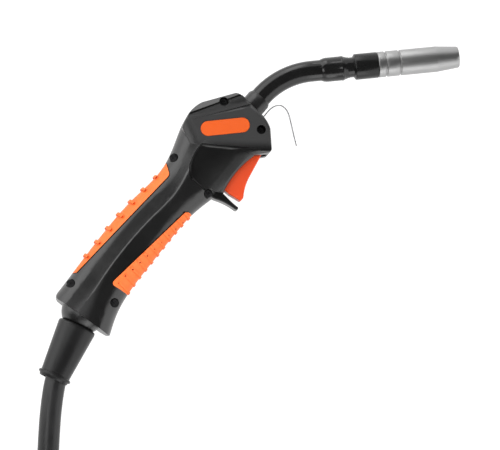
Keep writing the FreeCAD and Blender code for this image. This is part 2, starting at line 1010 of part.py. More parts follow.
def shaped(name, shape):
    """A piece whose shape is worked out in code, set down with its own placement."""
    feature = document.addObject("Part::Feature", name)
    feature.Shape = shape
    feature.Placement = Placement()
    return feature


hook_points = [handle.point(u, v) for u, v in HOOK_POINTS]
hook_shape, _, hook_radii = wire_along(hook_points, cell.wire_radius.number)
hook = keep(shaped("hanger_hook", hook_shape), "hanger_hook")

# The two pins that hold the trigger switch between the shells
switch = handle.moved(cell.switch_u, cell.switch_v)
switch_pin_u = (cell.switch_pin_inset, cell.switch_length - cell.switch_pin_inset)
switch_pins = [
    post(
        f"switch_pin_{number}",
        switch,
        along,
        cell.switch_height * 0.62,
        cell.switch_pin_radius,
        -cell.pivot_pin_half,
        cell.pivot_pin_half,
    )
    for number, along in enumerate(switch_pin_u)
]

hollow = fuse(
    "hollow", [room_form, head_room, trigger_room, neck_seat, socket, passage]
)
hollow_with_posts = cut("hollow_with_posts", hollow, screw_posts())
openings = fuse(
    "openings",
    [
        hollow_with_posts,
        trigger_room,
        neck_seat,
        screw_holes(),
        *badge_recesses,
        pivot_hole,
        rear_cutter,
        back_recess,
        front_recess,
        hook,
        *switch_pins,
    ],
)
both_shells = cut("both_shells", scooped_form, openings)
reach = cell.head_half_thickness + 10
half_box = [(-40, -60), (230, -60), (230, 70), (-40, 70)]
keep(common("near_shell", both_shells, slab("near_half", handle, half_box, 0, reach)), "near_shell")
keep(common("far_shell", both_shells, slab("far_half", handle, half_box, -reach, 0)), "far_shell")
shell_screws()

# Trigger, its pin, the switch behind it and the return spring
TRIGGER_FLOOR = -17.2
TRIGGER_OUTLINE = [
    (179.6, -22.6),
    (179.0, -25.0),
    (160.0, -29.0),
    (145.5, -35.3, 0.8),
    (141.2, -35.4, -0.65),
    (139.6, -26.0),
    (139.6, TRIGGER_FLOOR),
    (150.0, TRIGGER_FLOOR),
    (170.4, -15.2),
    (174.5, -11.0, -1.0),
    (178.6, -15.2, -1.6),
]
trigger_half = cell.trigger_slot_half - cell.side_gap
trigger_blade = slab("trigger_blade", handle, TRIGGER_OUTLINE, -trigger_half, trigger_half)
trigger_high = SIZES["trigger_slot_half"] - SIZES["side_gap"]
rounded(trigger_blade, 1.4, lambda edge: (at_height(edge, trigger_high)
        or at_height(edge, -trigger_high)) and edge.CenterOfMass.y < -20)
trigger_bore = post(
    "trigger_bore", pivot, 0, 0, cell.pivot_pin_radius + cell.running_gap, -20, 20
)
pocket_frame = handle.moved(cell.spring_u, TRIGGER_FLOOR, turn=-90)
spring_pocket = tube("spring_pocket", pocket_frame, -1, 5, cell.spring_radius + 0.8)
keep(cut("trigger", trigger_blade, fuse("trigger_bores", [trigger_bore, spring_pocket])), "trigger")
keep(
    post("trigger_pin", pivot, 0, 0, cell.pivot_pin_radius, -cell.pivot_pin_half,
         cell.pivot_pin_half),
    "trigger_pin",
)

spring_seat = handle.moved(cell.spring_u, cell.spring_seat_v, turn=-90)
wire = cell.spring_wire_radius.number


def arc_from(start, direction, stop):
    """The arc from start to stop that leaves start along a unit direction."""
    chord = stop - start
    half = direction.getAngle(chord)
    rise = chord.Length / 2 * math.tan(half / 2)
    side = (direction - chord.normalize() * math.cos(half)).normalize()
    return Part.Arc(start, (start + stop) * 0.5 + side * rise, stop).toShape()


def biarc(start, leaving, stop, arriving):
    """Two arcs with one tangent where they meet, between two points and directions."""
    gap = stop - start
    both = leaving + arriving
    square = 2 * (leaving.dot(arriving) - 1)
    slope = -2 * gap.dot(both)
    root = math.sqrt(slope * slope - 4 * square * gap.dot(gap))
    reach = (-slope - root) / (2 * square)
    meeting = (start + stop) * 0.5 + (leaving - arriving) * (reach / 2)
    tangent_there = (meeting - start - leaving * reach).normalize()
    return arc_from(start, leaving, meeting), arc_from(meeting, tangent_there, stop)


def coil_spring(name, frame, length, radius, wire_radius, turns):
    """An open coil spring along the frame's X axis, with short straight ends."""
    bend = size(radius).number
    margin = 1.5 * wire_radius
    rise = (size(length).number - 2 * margin) / (4 * turns)
    marks, ways = [], []
    for quarter in range(4 * turns + 1):
        angle = quarter * math.pi / 2
        across, up = bend * math.cos(angle), bend * math.sin(angle)
        marks.append(Vector(margin + rise * quarter, across, up))
        ways.append(Vector(2 * rise / math.pi, -up, across).normalize())
    first = marks[0] - ways[0] * (2 * wire_radius)
    last = marks[-1] + ways[-1] * (2 * wire_radius)
    edges = [Part.LineSegment(first, marks[0]).toShape()]
    for start, leaving, stop, arriving in zip(marks, ways, marks[1:], ways[1:]):
        edges.extend(biarc(start, leaving, stop, arriving))
    edges.append(Part.LineSegment(marks[-1], last).toShape())
    feature = document.addObject("Part::Feature", name)
    feature.Shape = round_tube(Part.Wire(edges), first, ways[0], wire_radius)
    feature.Placement = frame.placement()
    return feature


keep(
    coil_spring("trigger_spring", spring_seat, cell.spring_length, cell.spring_radius, wire, 6),
    "trigger_spring",
)

switch_case = slab(
    "switch_case",
    switch,
    [(0, 0), (cell.switch_length, 0), (cell.switch_length, cell.switch_height),
     (0, cell.switch_height)],
    -cell.switch_thickness / 2,
    cell.switch_thickness / 2,
)
rounded(switch_case, 0.4, lambda edge: abs(edge.BoundBox.ZLength) > 5)
button_line = switch.moved(cell.button_u, 0, turn=90)
button_room = tube(
    "button_room", button_line, -1, cell.switch_height + 1, cell.button_radius + cell.running_gap
)
switch_body = cut("switch_body", switch_case, fuse("switch_bores", [button_room, *switch_pins]))
keep(switch_body, "switch_body")
keep(group("switch_pin_pair", switch_pins), "switch_pins")
keep(
    tube("switch_button", button_line, -cell.button_out, cell.button_inside, cell.button_radius),
    "switch_button",
)


# Swan neck: one bent axis that the cover, the core, the bore and the liner share
neck = handle.moved(0, cell.neck_v)


def bent_rod(name, start, stop, radius):
    """A round rod along the neck's axis, from start on the tail to stop on the front."""
    body = new_body(name, neck)
    path = new_sketch(body, f"{name}_path")
    half = cell.neck_bend / 2
    run = cell.neck_bend_radius * tangent(half)
    sagitta = cell.neck_bend_radius * (1 - cosine(half))
    along, down = cosine(cell.neck_bend), -sine(cell.neck_bend)
    corner = cell.neck_corner_u
    outline(
        path,
        [
            (start, 0),
            (corner - run, 0),
            (corner + run * along, run * down, -sagitta),
            (corner + size(stop) * along, size(stop) * down),
        ],
        closed=False,
    )
    section = new_sketch(body, f"{name}_section", "YZ_Plane", start)
    circle(section, radius)
    pipe = body.newObject("PartDesign::AdditivePipe", f"{name}_pipe")
    pipe.Profile = section
    pipe.Spine = path
    return body


cover_rod = bent_rod("cover_rod", cell.collar_start_u, cell.cover_end, cell.neck_radius)
core_rod = bent_rod("core_rod", cell.neck_tail_u, cell.insulator_end, cell.neck_core_radius)
bore_rod = bent_rod("bore_rod", cell.neck_tail_u, cell.insulator_end, cell.neck_bore_radius)
swell = turned(
    "swell",
    front,
    [
        (cell.swell_start - 3, 0),
        (cell.swell_end + 4, 0),
        (cell.swell_end + 4, cell.throat_radius),
        (cell.swell_end, cell.swell_radius - 0.3),
        (cell.swell_end - 2, cell.swell_radius, 0.3),
        (cell.swell_start + 3, cell.swell_radius),
        (cell.swell_start - 3, cell.neck_radius, 0.4),
    ],
)
throat_trim = turned(
    "throat_trim",
    front,
    [
        (cell.swell_end + 3.9, cell.throat_radius),
        (cell.cover_end + 1, cell.throat_radius),
        (cell.cover_end + 1, cell.neck_radius + 3),
        (cell.swell_end + 3.9, cell.neck_radius + 3),
    ],
)
cover_whole = cut("cover_whole", fuse("cover_joined", [cover_rod, swell]), throat_trim)
keep(cut("neck_cover", cover_whole, core_rod), "neck_cover")
keep(cut("neck_core", core_rod, bore_rod), "neck_core")
liner_rod = bent_rod("liner_rod", cell.neck_tail_u, cell.holder_seat, cell.liner_radius)
liner_bore = bent_rod("liner_bore", cell.neck_tail_u, cell.holder_seat, cell.liner_bore)
keep(cut("wire_liner", liner_rod, liner_bore), "wire_liner")
keep(
    turned(
        "neck_collar",
        neck,
        [
            (cell.collar_start_u, cell.neck_radius),
            (cell.collar_end_u, cell.neck_radius),
            (cell.collar_end_u, cell.neck_radius + 0.4),
            (cell.collar_end_u - 2.2, cell.collar_radius),
            (cell.collar_start_u, cell.collar_radius),
        ],
    ),
    "neck_collar",
)


def hexagon(radius):
    corners = []
    for step in range(6):
        angle = math.radians(60 * step)
        corners.append((size(radius) * math.cos(angle), size(radius) * math.sin(angle)))
    return corners


nut_block = new_body("nut_block", neck)
nut_sketch = new_sketch(nut_block, "nut_hexagon", "YZ_Plane", cell.neck_tail_u)
outline(nut_sketch, hexagon(cell.nut_radius))
nut_pad = nut_block.newObject("PartDesign::Pad", "nut_pad")
nut_pad.Profile = nut_sketch
nut_pad.setExpression("Length", cell.nut_length.text)
keep(cut("neck_nut", nut_block, core_rod), "neck_nut")
crimp_start = cell.neck_tail_u - cell.crimp_length
cable_seat = cell.neck_tail_u - 6
keep(
    turned(
        "cable_crimp",
        neck,
        [
            (crimp_start, cell.inner_cable_radius),
            (cable_seat, cell.inner_cable_radius),
            (cable_seat, cell.liner_radius),
            (cell.neck_tail_u, cell.liner_radius),
            (cell.neck_tail_u, cell.crimp_radius),
            (crimp_start + 12, cell.crimp_radius),
            (crimp_start + 11, cell.crimp_radius - 0.6),
            (crimp_start + 8, cell.crimp_radius - 0.6),
            (crimp_start + 7, cell.crimp_radius),
            (crimp_start, cell.crimp_radius),
        ],
    ),
    "cable_crimp",
)

# Front end: sleeve, tip holder, diffuser, contact tip, and the nozzle with its bush
keep(
    turned(
        "front_insulator",
        front,
        [
            (cell.insulator_start, cell.neck_core_radius),
            (cell.insulator_end, cell.neck_core_radius),
            (cell.insulator_end, cell.insulator_radius),
            (cell.insulator_start + 1.3, cell.insulator_radius),
            (cell.insulator_start, cell.throat_radius + 0.2),
        ],
    ),
    "front_insulator",
)
holder_end = cell.insulator_end + cell.holder_length
tip_start = holder_end - 8
tip_end = tip_start + cell.tip_length
diffuser_end = cell.insulator_end + cell.diffuser_length
holder_block = turned(
    "holder_block",
    front,
    [
        (cell.insulator_end, cell.holder_gas_radius),
        (diffuser_end, cell.holder_gas_radius),
        (diffuser_end + 1, cell.liner_radius),
        (cell.holder_seat, cell.liner_radius),
        (cell.holder_seat, cell.tip_bore_radius + 0.6),
        (tip_start, cell.tip_bore_radius + 0.6),
        (tip_start, cell.tip_thread_radius),
        (holder_end, cell.tip_thread_radius),
        (holder_end, cell.holder_radius),
        (cell.insulator_end, cell.holder_radius),
    ],
)
keep(
    turned(
        "contact_tip",
        front,
        [
            (tip_start, cell.tip_bore_radius),
            (tip_end, cell.tip_bore_radius),
            (tip_end, cell.tip_radius - 1.2),
            (tip_end - 4, cell.tip_radius),
            (holder_end, cell.tip_radius),
            (holder_end, cell.tip_thread_radius),
            (tip_start, cell.tip_thread_radius),
        ],
    ),
    "contact_tip",
)
diffuser_ring = turned(
    "diffuser_ring",
    front,
    [
        (cell.insulator_end, cell.holder_radius),
        (diffuser_end, cell.holder_radius),
        (diffuser_end, cell.diffuser_radius - 0.6),
        (diffuser_end - 1, cell.diffuser_radius),
        (cell.insulator_end, cell.diffuser_radius),
    ],
)
gas_holes = fuse(
    "gas_holes",
    [
        post("gas_hole_up", front, diffuser_end - 4, 0, 0.9, -12, 12),
        tube("gas_hole_across", front.moved(diffuser_end - 4, 0, turn=90), -12, 12, 0.9),
    ],
)
keep(cut("gas_diffuser", diffuser_ring, gas_holes), "gas_diffuser")
keep(cut("tip_holder", holder_block, gas_holes), "tip_holder")


def groove(start):
    """One turned groove round the nozzle, as the four corners that it adds."""
    floor = cell.nozzle_radius - cell.groove_depth
    return [
        (start + cell.groove_width, cell.nozzle_radius),
        (start + cell.groove_width * 0.7, floor),
        (start + cell.groove_width * 0.3, floor),
        (start, cell.nozzle_radius),
    ]


nozzle_end = cell.nozzle_start + cell.nozzle_length
nozzle_bore = cell.nozzle_radius - cell.nozzle_wall
keep(
    turned(
        "gas_nozzle",
        front,
        [
            (cell.nozzle_start, nozzle_bore),
            (nozzle_end - cell.nozzle_taper_length, nozzle_bore),
            (nozzle_end, cell.nozzle_mouth_radius - cell.nozzle_wall),
            (nozzle_end, cell.nozzle_mouth_radius - 0.5),
            (nozzle_end - 0.6, cell.nozzle_mouth_radius),
            (nozzle_end - cell.nozzle_taper_length, cell.nozzle_radius),
            *groove(cell.nozzle_start + cell.groove_two),
            *groove(cell.nozzle_start + cell.groove_one),
            (cell.nozzle_start + 0.5, cell.nozzle_radius),
            (cell.nozzle_start, cell.nozzle_radius - 0.5),
        ],
    ),
    "gas_nozzle",
)
keep(
    tube(
        "nozzle_bush",
        front,
        cell.nozzle_start,
        cell.nozzle_start + cell.bush_length,
        nozzle_bore,
        cell.diffuser_radius + cell.running_gap,
    ),
    "nozzle_bush",
)

# Ball joint and boot
boot_end = cell.boot_start + cell.boot_length
ring_end = boot_end + cell.boot_ring_length
ball_solid = ball("ball_solid", tail, cell.ball_radius)
ball_neck = tube("ball_neck", tail, 0, cell.cable_start, cell.ball_neck_radius)
ball_bore = turned(
    "ball_bore",
    tail,
    [
        (-cell.ball_radius - 1, 0),
        (cell.cable_start + 1, 0),
        (cell.cable_start + 1, cell.inner_cable_radius + 0.4),
        (0, cell.inner_cable_radius + 0.4),
        (-cell.ball_radius - 1, cell.inner_cable_radius + 4.4),
    ],
)
keep(cut("ball_knuckle", fuse("ball_whole", [ball_solid, ball_neck]), ball_bore), "ball_knuckle")


def boot_profile():
    """The boot's outer line with its rim, and its bore that opens towards the cable."""
    slope = (cell.boot_radius - cell.boot_tip_radius) / cell.boot_length
    ball_rim = root(cell.ball_radius * cell.ball_radius - cell.boot_start * cell.boot_start)
    flange_end = boot_end + cell.boot_flange
    return [
        (cell.boot_start, ball_rim + 0.2),
        (cell.boot_start + 2, cell.ball_neck_radius),
        (cell.cable_start, cell.ball_neck_radius),
        (cell.cable_start, cell.boot_bore_radius),
        (boot_end - 8, cell.boot_bore_radius + 0.4),
        (ring_end, cell.boot_mouth_radius),
        (ring_end, cell.boot_mouth_radius + 0.7),
        (flange_end, cell.boot_tip_radius + 0.3),
        (flange_end, cell.boot_ring_radius - 0.5),
        (flange_end - 0.5, cell.boot_ring_radius, 0.15),
        (boot_end + 0.5, cell.boot_ring_radius),
        (boot_end, cell.boot_ring_radius - 0.5, 0.15),
        (boot_end, cell.boot_tip_radius),
        (cell.boot_start + 1.5, cell.boot_radius - slope * 1.5),
        (cell.boot_start, cell.boot_radius - 1.3, 0.3),
    ]


keep(turned("strain_boot", tail, boot_profile()), "strain_boot")

# The inner cable: from the crimp through the grip and the ball to the boot
inner_points = [
    neck.point(cable_seat, 0),
    neck.point(130, 0),
    handle.point(92, 6.4),
    handle.point(56, 6.8),
    handle.point(26, 3.8),
    tail.point(-2, 0),
    tail.point(cell.cable_start, 0),
]
inner_shape, inner_length, inner_radii = wire_along(inner_points, cell.inner_cable_radius.number)
keep(shaped("inner_cable", inner_shape), "inner_cable")

# The cable's free route: out of the boot, down to the surface, and on to the coil
coil_x = cell.ball_x + cell.coil_from_ball_x
coil_y = cell.ball_y + cell.coil_from_ball_y
coil_centre = Vector(coil_x.number, coil_y.number, cell.coil_height.number)
lead_in = 2 * cell.cable_radius.number
entry = coil_centre + Vector(-cell.coil_outer_radius.number, lead_in, 0)
LEAD_FROM_BALL = [
    (-24.4, -69.4, -0.8),
    (-26.2, -96.4, -3.0),
    (-27.2, -131.0, -7.4),
    (-28.2, -167.0, -10.1),
]
ball_centre = handle.point(0, 0)
lead_points = [
    tail.point(cell.cable_start, 0),
    tail.point(cell.cable_start + 23, 0),
    *[ball_centre + Vector(*step) for step in LEAD_FROM_BALL],
    entry + Vector(0, 24, 0),
    entry,
]
lead_shape, lead_length, lead_radii = wire_along(lead_points, cell.cable_radius.number)
keep(shaped("cable_lead", lead_shape), "cable_lead")

# The coil: a flat spiral in, a climb where it turns back, and a spiral out on top
START_ANGLE = math.pi
turns = cell.coil_turns.number
climb_start = math.pi * (turns - 0.5)
climb_middle = math.pi * turns
climb_end = math.pi * (turns + 0.5)


def coil_radius(turned_by):
    inward = turned_by if turned_by < climb_middle else 2 * climb_middle - turned_by
    return cell.coil_outer_radius.number - cell.coil_pitch.number * inward / (2 * math.pi)


def coil_lift(turned_by):
    share = (turned_by - climb_start) / (climb_end - climb_start)
    share = min(max(share, 0.0), 1.0)
    return cell.layer_rise.number * (1 - math.cos(math.pi * share)) / 2


def coil_point(turned_by):
    angle = START_ANGLE + turned_by
    radius = coil_radius(turned_by)
    offset = Vector(radius * math.cos(angle), radius * math.sin(angle), coil_lift(turned_by))
    return coil_centre + offset


def coil_direction(turned_by, step=0.02):
    return (coil_point(turned_by + step) - coil_point(turned_by - step)).normalize()


def coil_path():
    """A short straight, the turns as biarcs of about a quarter turn, and a straight end."""
    inward = [climb_start * step / 10 for step in range(11)]
    outward = [climb_end + climb_start * step / 10 for step in range(11)]
    stations = [*inward, climb_middle, *outward]
    marks = [coil_point(station) for station in stations]
    ways = [coil_direction(station) for station in stations]
    ways[0] = Vector(0, -1, 0)
    ways[-1] = Vector(1, 0, 0)
    edges = [Part.LineSegment(entry, marks[0]).toShape()]
    for start, leaving, stop, arriving in zip(marks, ways, marks[1:], ways[1:]):
        edges.extend(biarc(start, leaving, stop, arriving))
    finish = marks[-1] + ways[-1] * cell.end_straight.number
    edges.append(Part.LineSegment(marks[-1], finish).toShape())
    return Part.Wire(edges)


coil_wire = coil_path()
coil_length = coil_wire.Length
coil_shape = round_tube(coil_wire, entry, Vector(0, -1, 0), cell.cable_radius.number)
keep(shaped("cable_coil", coil_shape), "cable_coil")


def least_gap(wire_path, diameter, spacing=4.0):
    """The least gap between stretches of a wire that are not neighbours along it."""
    points = wire_path.discretize(Distance=spacing)
    skip = int(6 * diameter / spacing)
    least = math.inf
    for index, point in enumerate(points):
        for other in points[index + skip:]:
            least = min(least, (point - other).Length)
    return least - diameter


def tie_loop(name, angle, outer_turns):
    """A flat strap round three turns side by side, at one angle of the coil."""
    spare = cell.cable_radius + cell.tie_slack
    outer = cell.coil_outer_radius - cell.coil_pitch * outer_turns + spare
    inner = cell.coil_outer_radius - cell.coil_pitch * (outer_turns + 2) - spare
    low = -cell.cable_radius - 0.2
    high = cell.layer_rise + cell.cable_radius + 0.2
    body = new_body(name, Frame(coil_x, coil_y, cell.coil_height, angle))
    sketch = new_sketch(body, f"{name}_outline", "XZ_Plane", -cell.tie_width / 2)
    for extra in (cell.tie_thickness, size(0)):
        corner = cell.cable_radius + extra
        bulge = corner * (1 - math.sqrt(0.5))
        left, right = inner - extra, outer + extra
        bottom, top = low - extra, high + extra
        outline(
            sketch,
            [
                (left + corner, bottom, bulge),
                (right - corner, bottom),
                (right, bottom + corner, bulge),
                (right, top - corner),
                (right - corner, top, bulge),
                (left + corner, top),
                (left, top - corner, bulge),
                (left, bottom + corner),
            ],
        )
    pad = body.newObject("PartDesign::Pad", f"{name}_pad")
    pad.Profile = sketch
    pad.setExpression("Length", cell.tie_width.text)
    return body


# Each tie's angle round the coil, and the turns by which the outermost cable has come inwards
TIES = [("tie_one", 60, 0.583), ("tie_two", 130, 0.389)]
keep(group("coil_ties", [tie_loop(*tie) for tie in TIES]), "coil_ties")

# Central connector at the far end, along its own axis
end_angle = 180 + 360 * cell.coil_turns
end_frame = Frame(
    coil_x, coil_y, cell.coil_height + cell.layer_rise, end_angle
).moved(cell.coil_outer_radius, 0, turn=90)
plug = end_frame.moved(cell.end_straight, 0)
boot_front = cell.plug_boot_length - 12
shell_start = boot_front - 4
shell_end = shell_start + cell.plug_shell_length
shell_inner = cell.plug_shell_radius - cell.plug_shell_wall
nut_start = shell_end + 0.3
keep(
    turned(
        "plug_boot",
        plug,
        [
            (-12, cell.cable_radius),
            (boot_front, cell.cable_radius),
            (boot_front, cell.plug_boot_end_radius),
            (0, cell.plug_boot_radius + 0.6),
            (-12, cell.plug_boot_radius),
        ],
    ),
    "plug_boot",
)
shell_tube = turned(
    "plug_shell_tube",
    plug,
    [
        (shell_start, cell.plug_boot_end_radius),
        (boot_front, cell.plug_boot_end_radius),
        (boot_front, shell_inner),
        (shell_end, shell_inner),
        (shell_end, cell.plug_shell_radius + 1.5),
        (shell_end - 5, cell.plug_shell_radius + 1.5),
        (shell_end - 7, cell.plug_shell_radius),
        (shell_start + 5, cell.plug_shell_radius),
        (shell_start, cell.plug_shell_radius - 2.5),
    ],
)
shell_box = [(shell_start - 1, -40), (shell_end + 1, -40), (shell_end + 1, 40),
             (shell_start - 1, 40)]
plug_screw_spot = plug.moved(shell_end - 11.5, 0)
head_seat = cell.plug_shell_radius - 1.4
plug_screws = []
plug_screw_rooms = []
plug_shanks = []
for screw_side, turn in (("upper", 1), ("lower", -1)):
    ends = [(8 * turn, head_seat * turn), (head_seat * turn, (head_seat + 1.6) * turn)]
    (shank_low, shank_high), (head_low, head_high) = [pair[::turn] for pair in ends]
    shank = post(f"{screw_side}_plug_shank", plug_screw_spot, 0, 0, cell.plug_screw_radius,
                 shank_low, shank_high)
    screw_head = post(f"{screw_side}_plug_screw_head", plug_screw_spot, 0, 0,
                      cell.plug_screw_head, head_low, head_high)
    plug_shanks.append(shank)
    plug_screw_rooms.extend([shank, screw_head])
    plug_screws.append(fuse(f"{screw_side}_plug_screw", [shank, screw_head]))
keep(group("plug_shell_screws", plug_screws), "plug_shell_screws")
drilled_tube = cut("drilled_tube", shell_tube, fuse("plug_screw_rooms", plug_screw_rooms))
for shell_name, low, high in (("plug_upper_shell", 0, 40), ("plug_lower_shell", -40, 0)):
    half = slab(f"{shell_name}_half", plug, shell_box, low, high)
    keep(common(shell_name, drilled_tube, half), shell_name)

hub_end = nut_start + cell.plug_nut_wall + 0.3
body_front = hub_end + 14
body_block = turned(
    "plug_body_block",
    plug,
    [
        (0, 0),
        (body_front, 0),
        (body_front, cell.plug_body_radius),
        (hub_end + 3, cell.plug_body_radius),
        (hub_end + 3, cell.plug_hub_radius + 2.6),
        (hub_end, cell.plug_hub_radius + 2.6),
        (hub_end, cell.plug_hub_radius),
        (shell_end, cell.plug_hub_radius),
        (shell_end, shell_inner),
        (shell_end - 18, shell_inner),
        (shell_end - 18, cell.plug_body_radius),
        (boot_front + 12, cell.plug_body_radius),
        (boot_front + 9, cell.plug_body_radius - 3),
        (boot_front + 2, cell.plug_body_radius - 3),
        (boot_front, cell.cable_radius),
        (0, cell.cable_radius),
    ],
)
pipe_start = body_front - 12
pipe_end = body_front + cell.plug_pipe_length
seal_start = pipe_end - 7
seal_floor = cell.plug_pipe_radius - 0.7
keep(
    turned(
        "plug_pipe",
        plug,
        [
            (pipe_start, cell.plug_pipe_bore),
            (pipe_end, cell.plug_pipe_bore),
            (pipe_end, cell.plug_pipe_radius - 0.8),
            (pipe_end - 1.6, cell.plug_pipe_radius),
            (seal_start + 1.6, cell.plug_pipe_radius),
            (seal_start + 1.6, seal_floor),
            (seal_start, seal_floor),
            (seal_start, cell.plug_pipe_radius),
            (pipe_start, cell.plug_pipe_radius),
        ],
    ),
    "plug_pipe",
)
keep(
    tube("plug_seal", plug, seal_start + 0.1, seal_start + 1.5, cell.plug_pipe_radius + 0.25,
         seal_floor),
    "plug_seal",
)
pin_inside = body_front - cell.contact_pin_inside
spring_start = pin_inside - cell.contact_pin_travel - cell.contact_spring_rest
pin_bores = [
    tube("pipe_bore", plug, pipe_start, body_front + 1, cell.plug_pipe_radius),
    *plug_shanks,
]
for pin_side, sign in (("left", 1), ("right", -1)):
    line = plug.moved(0, cell.contact_pin_offset * sign)
    pin_bores.append(
        tube(f"{pin_side}_pin_bore", line, spring_start, body_front + 1,
             cell.contact_pin_radius + cell.running_gap)
    )
    pin = tube(
        f"{pin_side}_pin_round",
        line,
        pin_inside,
        body_front + cell.contact_pin_out,
        cell.contact_pin_radius,
    )
    keep(pin, f"{pin_side}_contact_pin")
    spring = coil_spring(
        f"{pin_side}_pin_spring",
        line.moved(spring_start, 0),
        pin_inside - spring_start,
        cell.contact_pin_radius - 0.5,
        0.25,
        4,
    )
    keep(spring, f"{pin_side}_pin_spring")
keep(cut("plug_body", body_block, fuse("plug_bores", pin_bores)), "plug_body")


def plug_nut():
    """The hand nut: a knob with finger flutes that turns on the body's hub."""
    nut_end = nut_start + cell.plug_nut_length
    inner_wall = nut_start + cell.plug_nut_wall
    knob = turned(
        "nut_knob",
        plug,
        [
            (nut_start, cell.plug_hub_radius + 2 * cell.running_gap),
            (inner_wall, cell.plug_hub_radius + 2 * cell.running_gap),
            (inner_wall, cell.plug_nut_bore),
            (nut_end, cell.plug_nut_bore),
            (nut_end, cell.plug_nut_radius - 1),
            (nut_end - 1, cell.plug_nut_radius),
            (nut_start + 2, cell.plug_nut_radius),
            (nut_start, cell.plug_nut_radius - 2),
        ],
    )
    flutes = new_body("nut_flutes", plug)
    sketch = new_sketch(flutes, "flute_circles", "YZ_Plane", nut_start - 1)
    count = 16
    for step in range(count):
        angle = math.radians(360 * (step + 0.5) / count)
        ring = cell.plug_nut_radius + 1.2
        circle(sketch, 2.2, ring * math.cos(angle), ring * math.sin(angle))
    pad = flutes.newObject("PartDesign::Pad", "flute_pad")
    pad.Profile = sketch
    pad.setExpression("Length", (cell.plug_nut_length - 6).text)
    return keep(cut("plug_nut", knob, flutes), "plug_nut")


plug_nut()

document.recompute()

# Nothing is written unless every object came out whole
faults = []
for item in document.Objects:
    if "Invalid" in item.State or "Error" in item.State:
        faults.append(f"{item.Name}: {item.State}")
for piece in subparts:
    shape = piece.Shape
    if shape.isNull() or not shape.isValid() or shape.Volume <= 0:
        faults.append(f"{piece.Label}: no sound shape")
if faults:
    raise RuntimeError("; ".join(faults))

diameter = 2 * cell.cable_radius.number
section = math.pi * cell.cable_radius.number ** 2
print("hook arcs", [round(value, 1) for value in hook_radii])
print("inner cable arcs", [round(value, 1) for value in inner_radii])
print("lead arcs", [round(value, 1) for value in lead_radii])
print("lead volume over section times length", lead_shape.Volume / (section * lead_length))
print("coil volume over section times length", coil_shape.Volume / (section * coil_length))
print("coil's least gap to itself", round(least_gap(coil_wire, diameter), 2))
print("cable length in metres", round((inner_length + lead_length + coil_length) / 1000, 3))

os.makedirs("parts", exist_ok=True)
for piece in subparts:
    piece.Shape.exportStep(f"parts/{piece.Label}.step")
    bounds = piece.Shape.BoundBox
    print(
        piece.Label,
        len(piece.Shape.Solids),
        round(piece.Shape.Volume),
        [round(value, 1) for value in (bounds.XMin, bounds.XMax, bounds.YMin, bounds.YMax,
                                       bounds.ZMin, bounds.ZMax)],
    )
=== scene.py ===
# %% [markdown]
# # A MIG welding torch, dressed around its construction model
# The construction solids are already in place, in metres. This script looks at each visible
# piece in turn, gives it the surface that the real one has, and replaces the pieces whose
# construction form is too plain to be seen close by.

# %% Load the construction model
import json
import math

import bpy
from mathutils import Matrix, Vector

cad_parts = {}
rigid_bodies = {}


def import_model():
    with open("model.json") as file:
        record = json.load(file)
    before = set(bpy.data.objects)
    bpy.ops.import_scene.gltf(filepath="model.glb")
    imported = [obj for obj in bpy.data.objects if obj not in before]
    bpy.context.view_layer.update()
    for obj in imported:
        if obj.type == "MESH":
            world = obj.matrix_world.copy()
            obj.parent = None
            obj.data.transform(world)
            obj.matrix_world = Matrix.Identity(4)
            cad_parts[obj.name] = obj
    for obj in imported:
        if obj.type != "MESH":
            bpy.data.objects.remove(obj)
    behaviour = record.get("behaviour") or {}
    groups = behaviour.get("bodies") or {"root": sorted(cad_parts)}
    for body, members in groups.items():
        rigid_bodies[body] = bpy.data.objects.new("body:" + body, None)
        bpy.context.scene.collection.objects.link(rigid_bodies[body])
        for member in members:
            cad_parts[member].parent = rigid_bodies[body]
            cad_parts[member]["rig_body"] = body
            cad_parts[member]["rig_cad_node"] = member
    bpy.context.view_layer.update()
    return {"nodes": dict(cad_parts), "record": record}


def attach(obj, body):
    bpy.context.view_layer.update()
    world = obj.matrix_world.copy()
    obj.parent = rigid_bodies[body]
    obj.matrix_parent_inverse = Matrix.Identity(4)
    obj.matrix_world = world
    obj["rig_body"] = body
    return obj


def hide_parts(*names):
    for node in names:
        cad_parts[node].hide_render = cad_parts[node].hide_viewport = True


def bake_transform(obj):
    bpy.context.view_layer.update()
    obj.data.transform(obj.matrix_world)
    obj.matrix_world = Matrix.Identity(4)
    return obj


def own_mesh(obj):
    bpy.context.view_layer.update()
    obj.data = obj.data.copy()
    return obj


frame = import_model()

# %% [markdown]
# ## Places on the torch
# The handle has its own axis, turned about 50 degrees from the floor's long side. The front
# end and the cable's boot have one each, too. Three small functions turn a distance along and
# across such an axis into a place, so that every later number can be a real size on the torch.

# %% Helpers for places
BALL = Vector((-0.1274, -0.075, 0.0201))
HANDLE_ANGLE = math.radians(49.7)
NECK_BEND = math.radians(43.4)
BOOT_ANGLE = math.radians(245.8)
MM = 0.001


def on_axis(origin, angle, along, across, up=0.0):
    """A point so many millimetres along, across and above an axis that starts at origin."""
    turn = Matrix.Rotation(angle, 3, "Z")
    return origin + turn @ Vector((along * MM, across * MM, up * MM))


def on_handle(along, across, up=0.0):
    """A point by its distances along and across the handle, from the ball's centre."""
    return on_axis(BALL, HANDLE_ANGLE, along, across, up)


NECK_CORNER = on_handle(236.9, 4.2)
FRONT_ANGLE = HANDLE_ANGLE - NECK_BEND


def on_front(along, across=0.0, up=0.0):
    """A point by its distances along and across the front end, from the neck's corner."""
    return on_axis(NECK_CORNER, FRONT_ANGLE, along, across, up)


def on_boot(along, across=0.0, up=0.0):
    """A point by its distances along and across the boot, from the ball's centre."""
    return on_axis(BALL, BOOT_ANGLE, along, across, up)


NOZZLE_MOUTH = 138.8
print("nozzle mouth at", tuple(on_front(NOZZLE_MOUTH)))

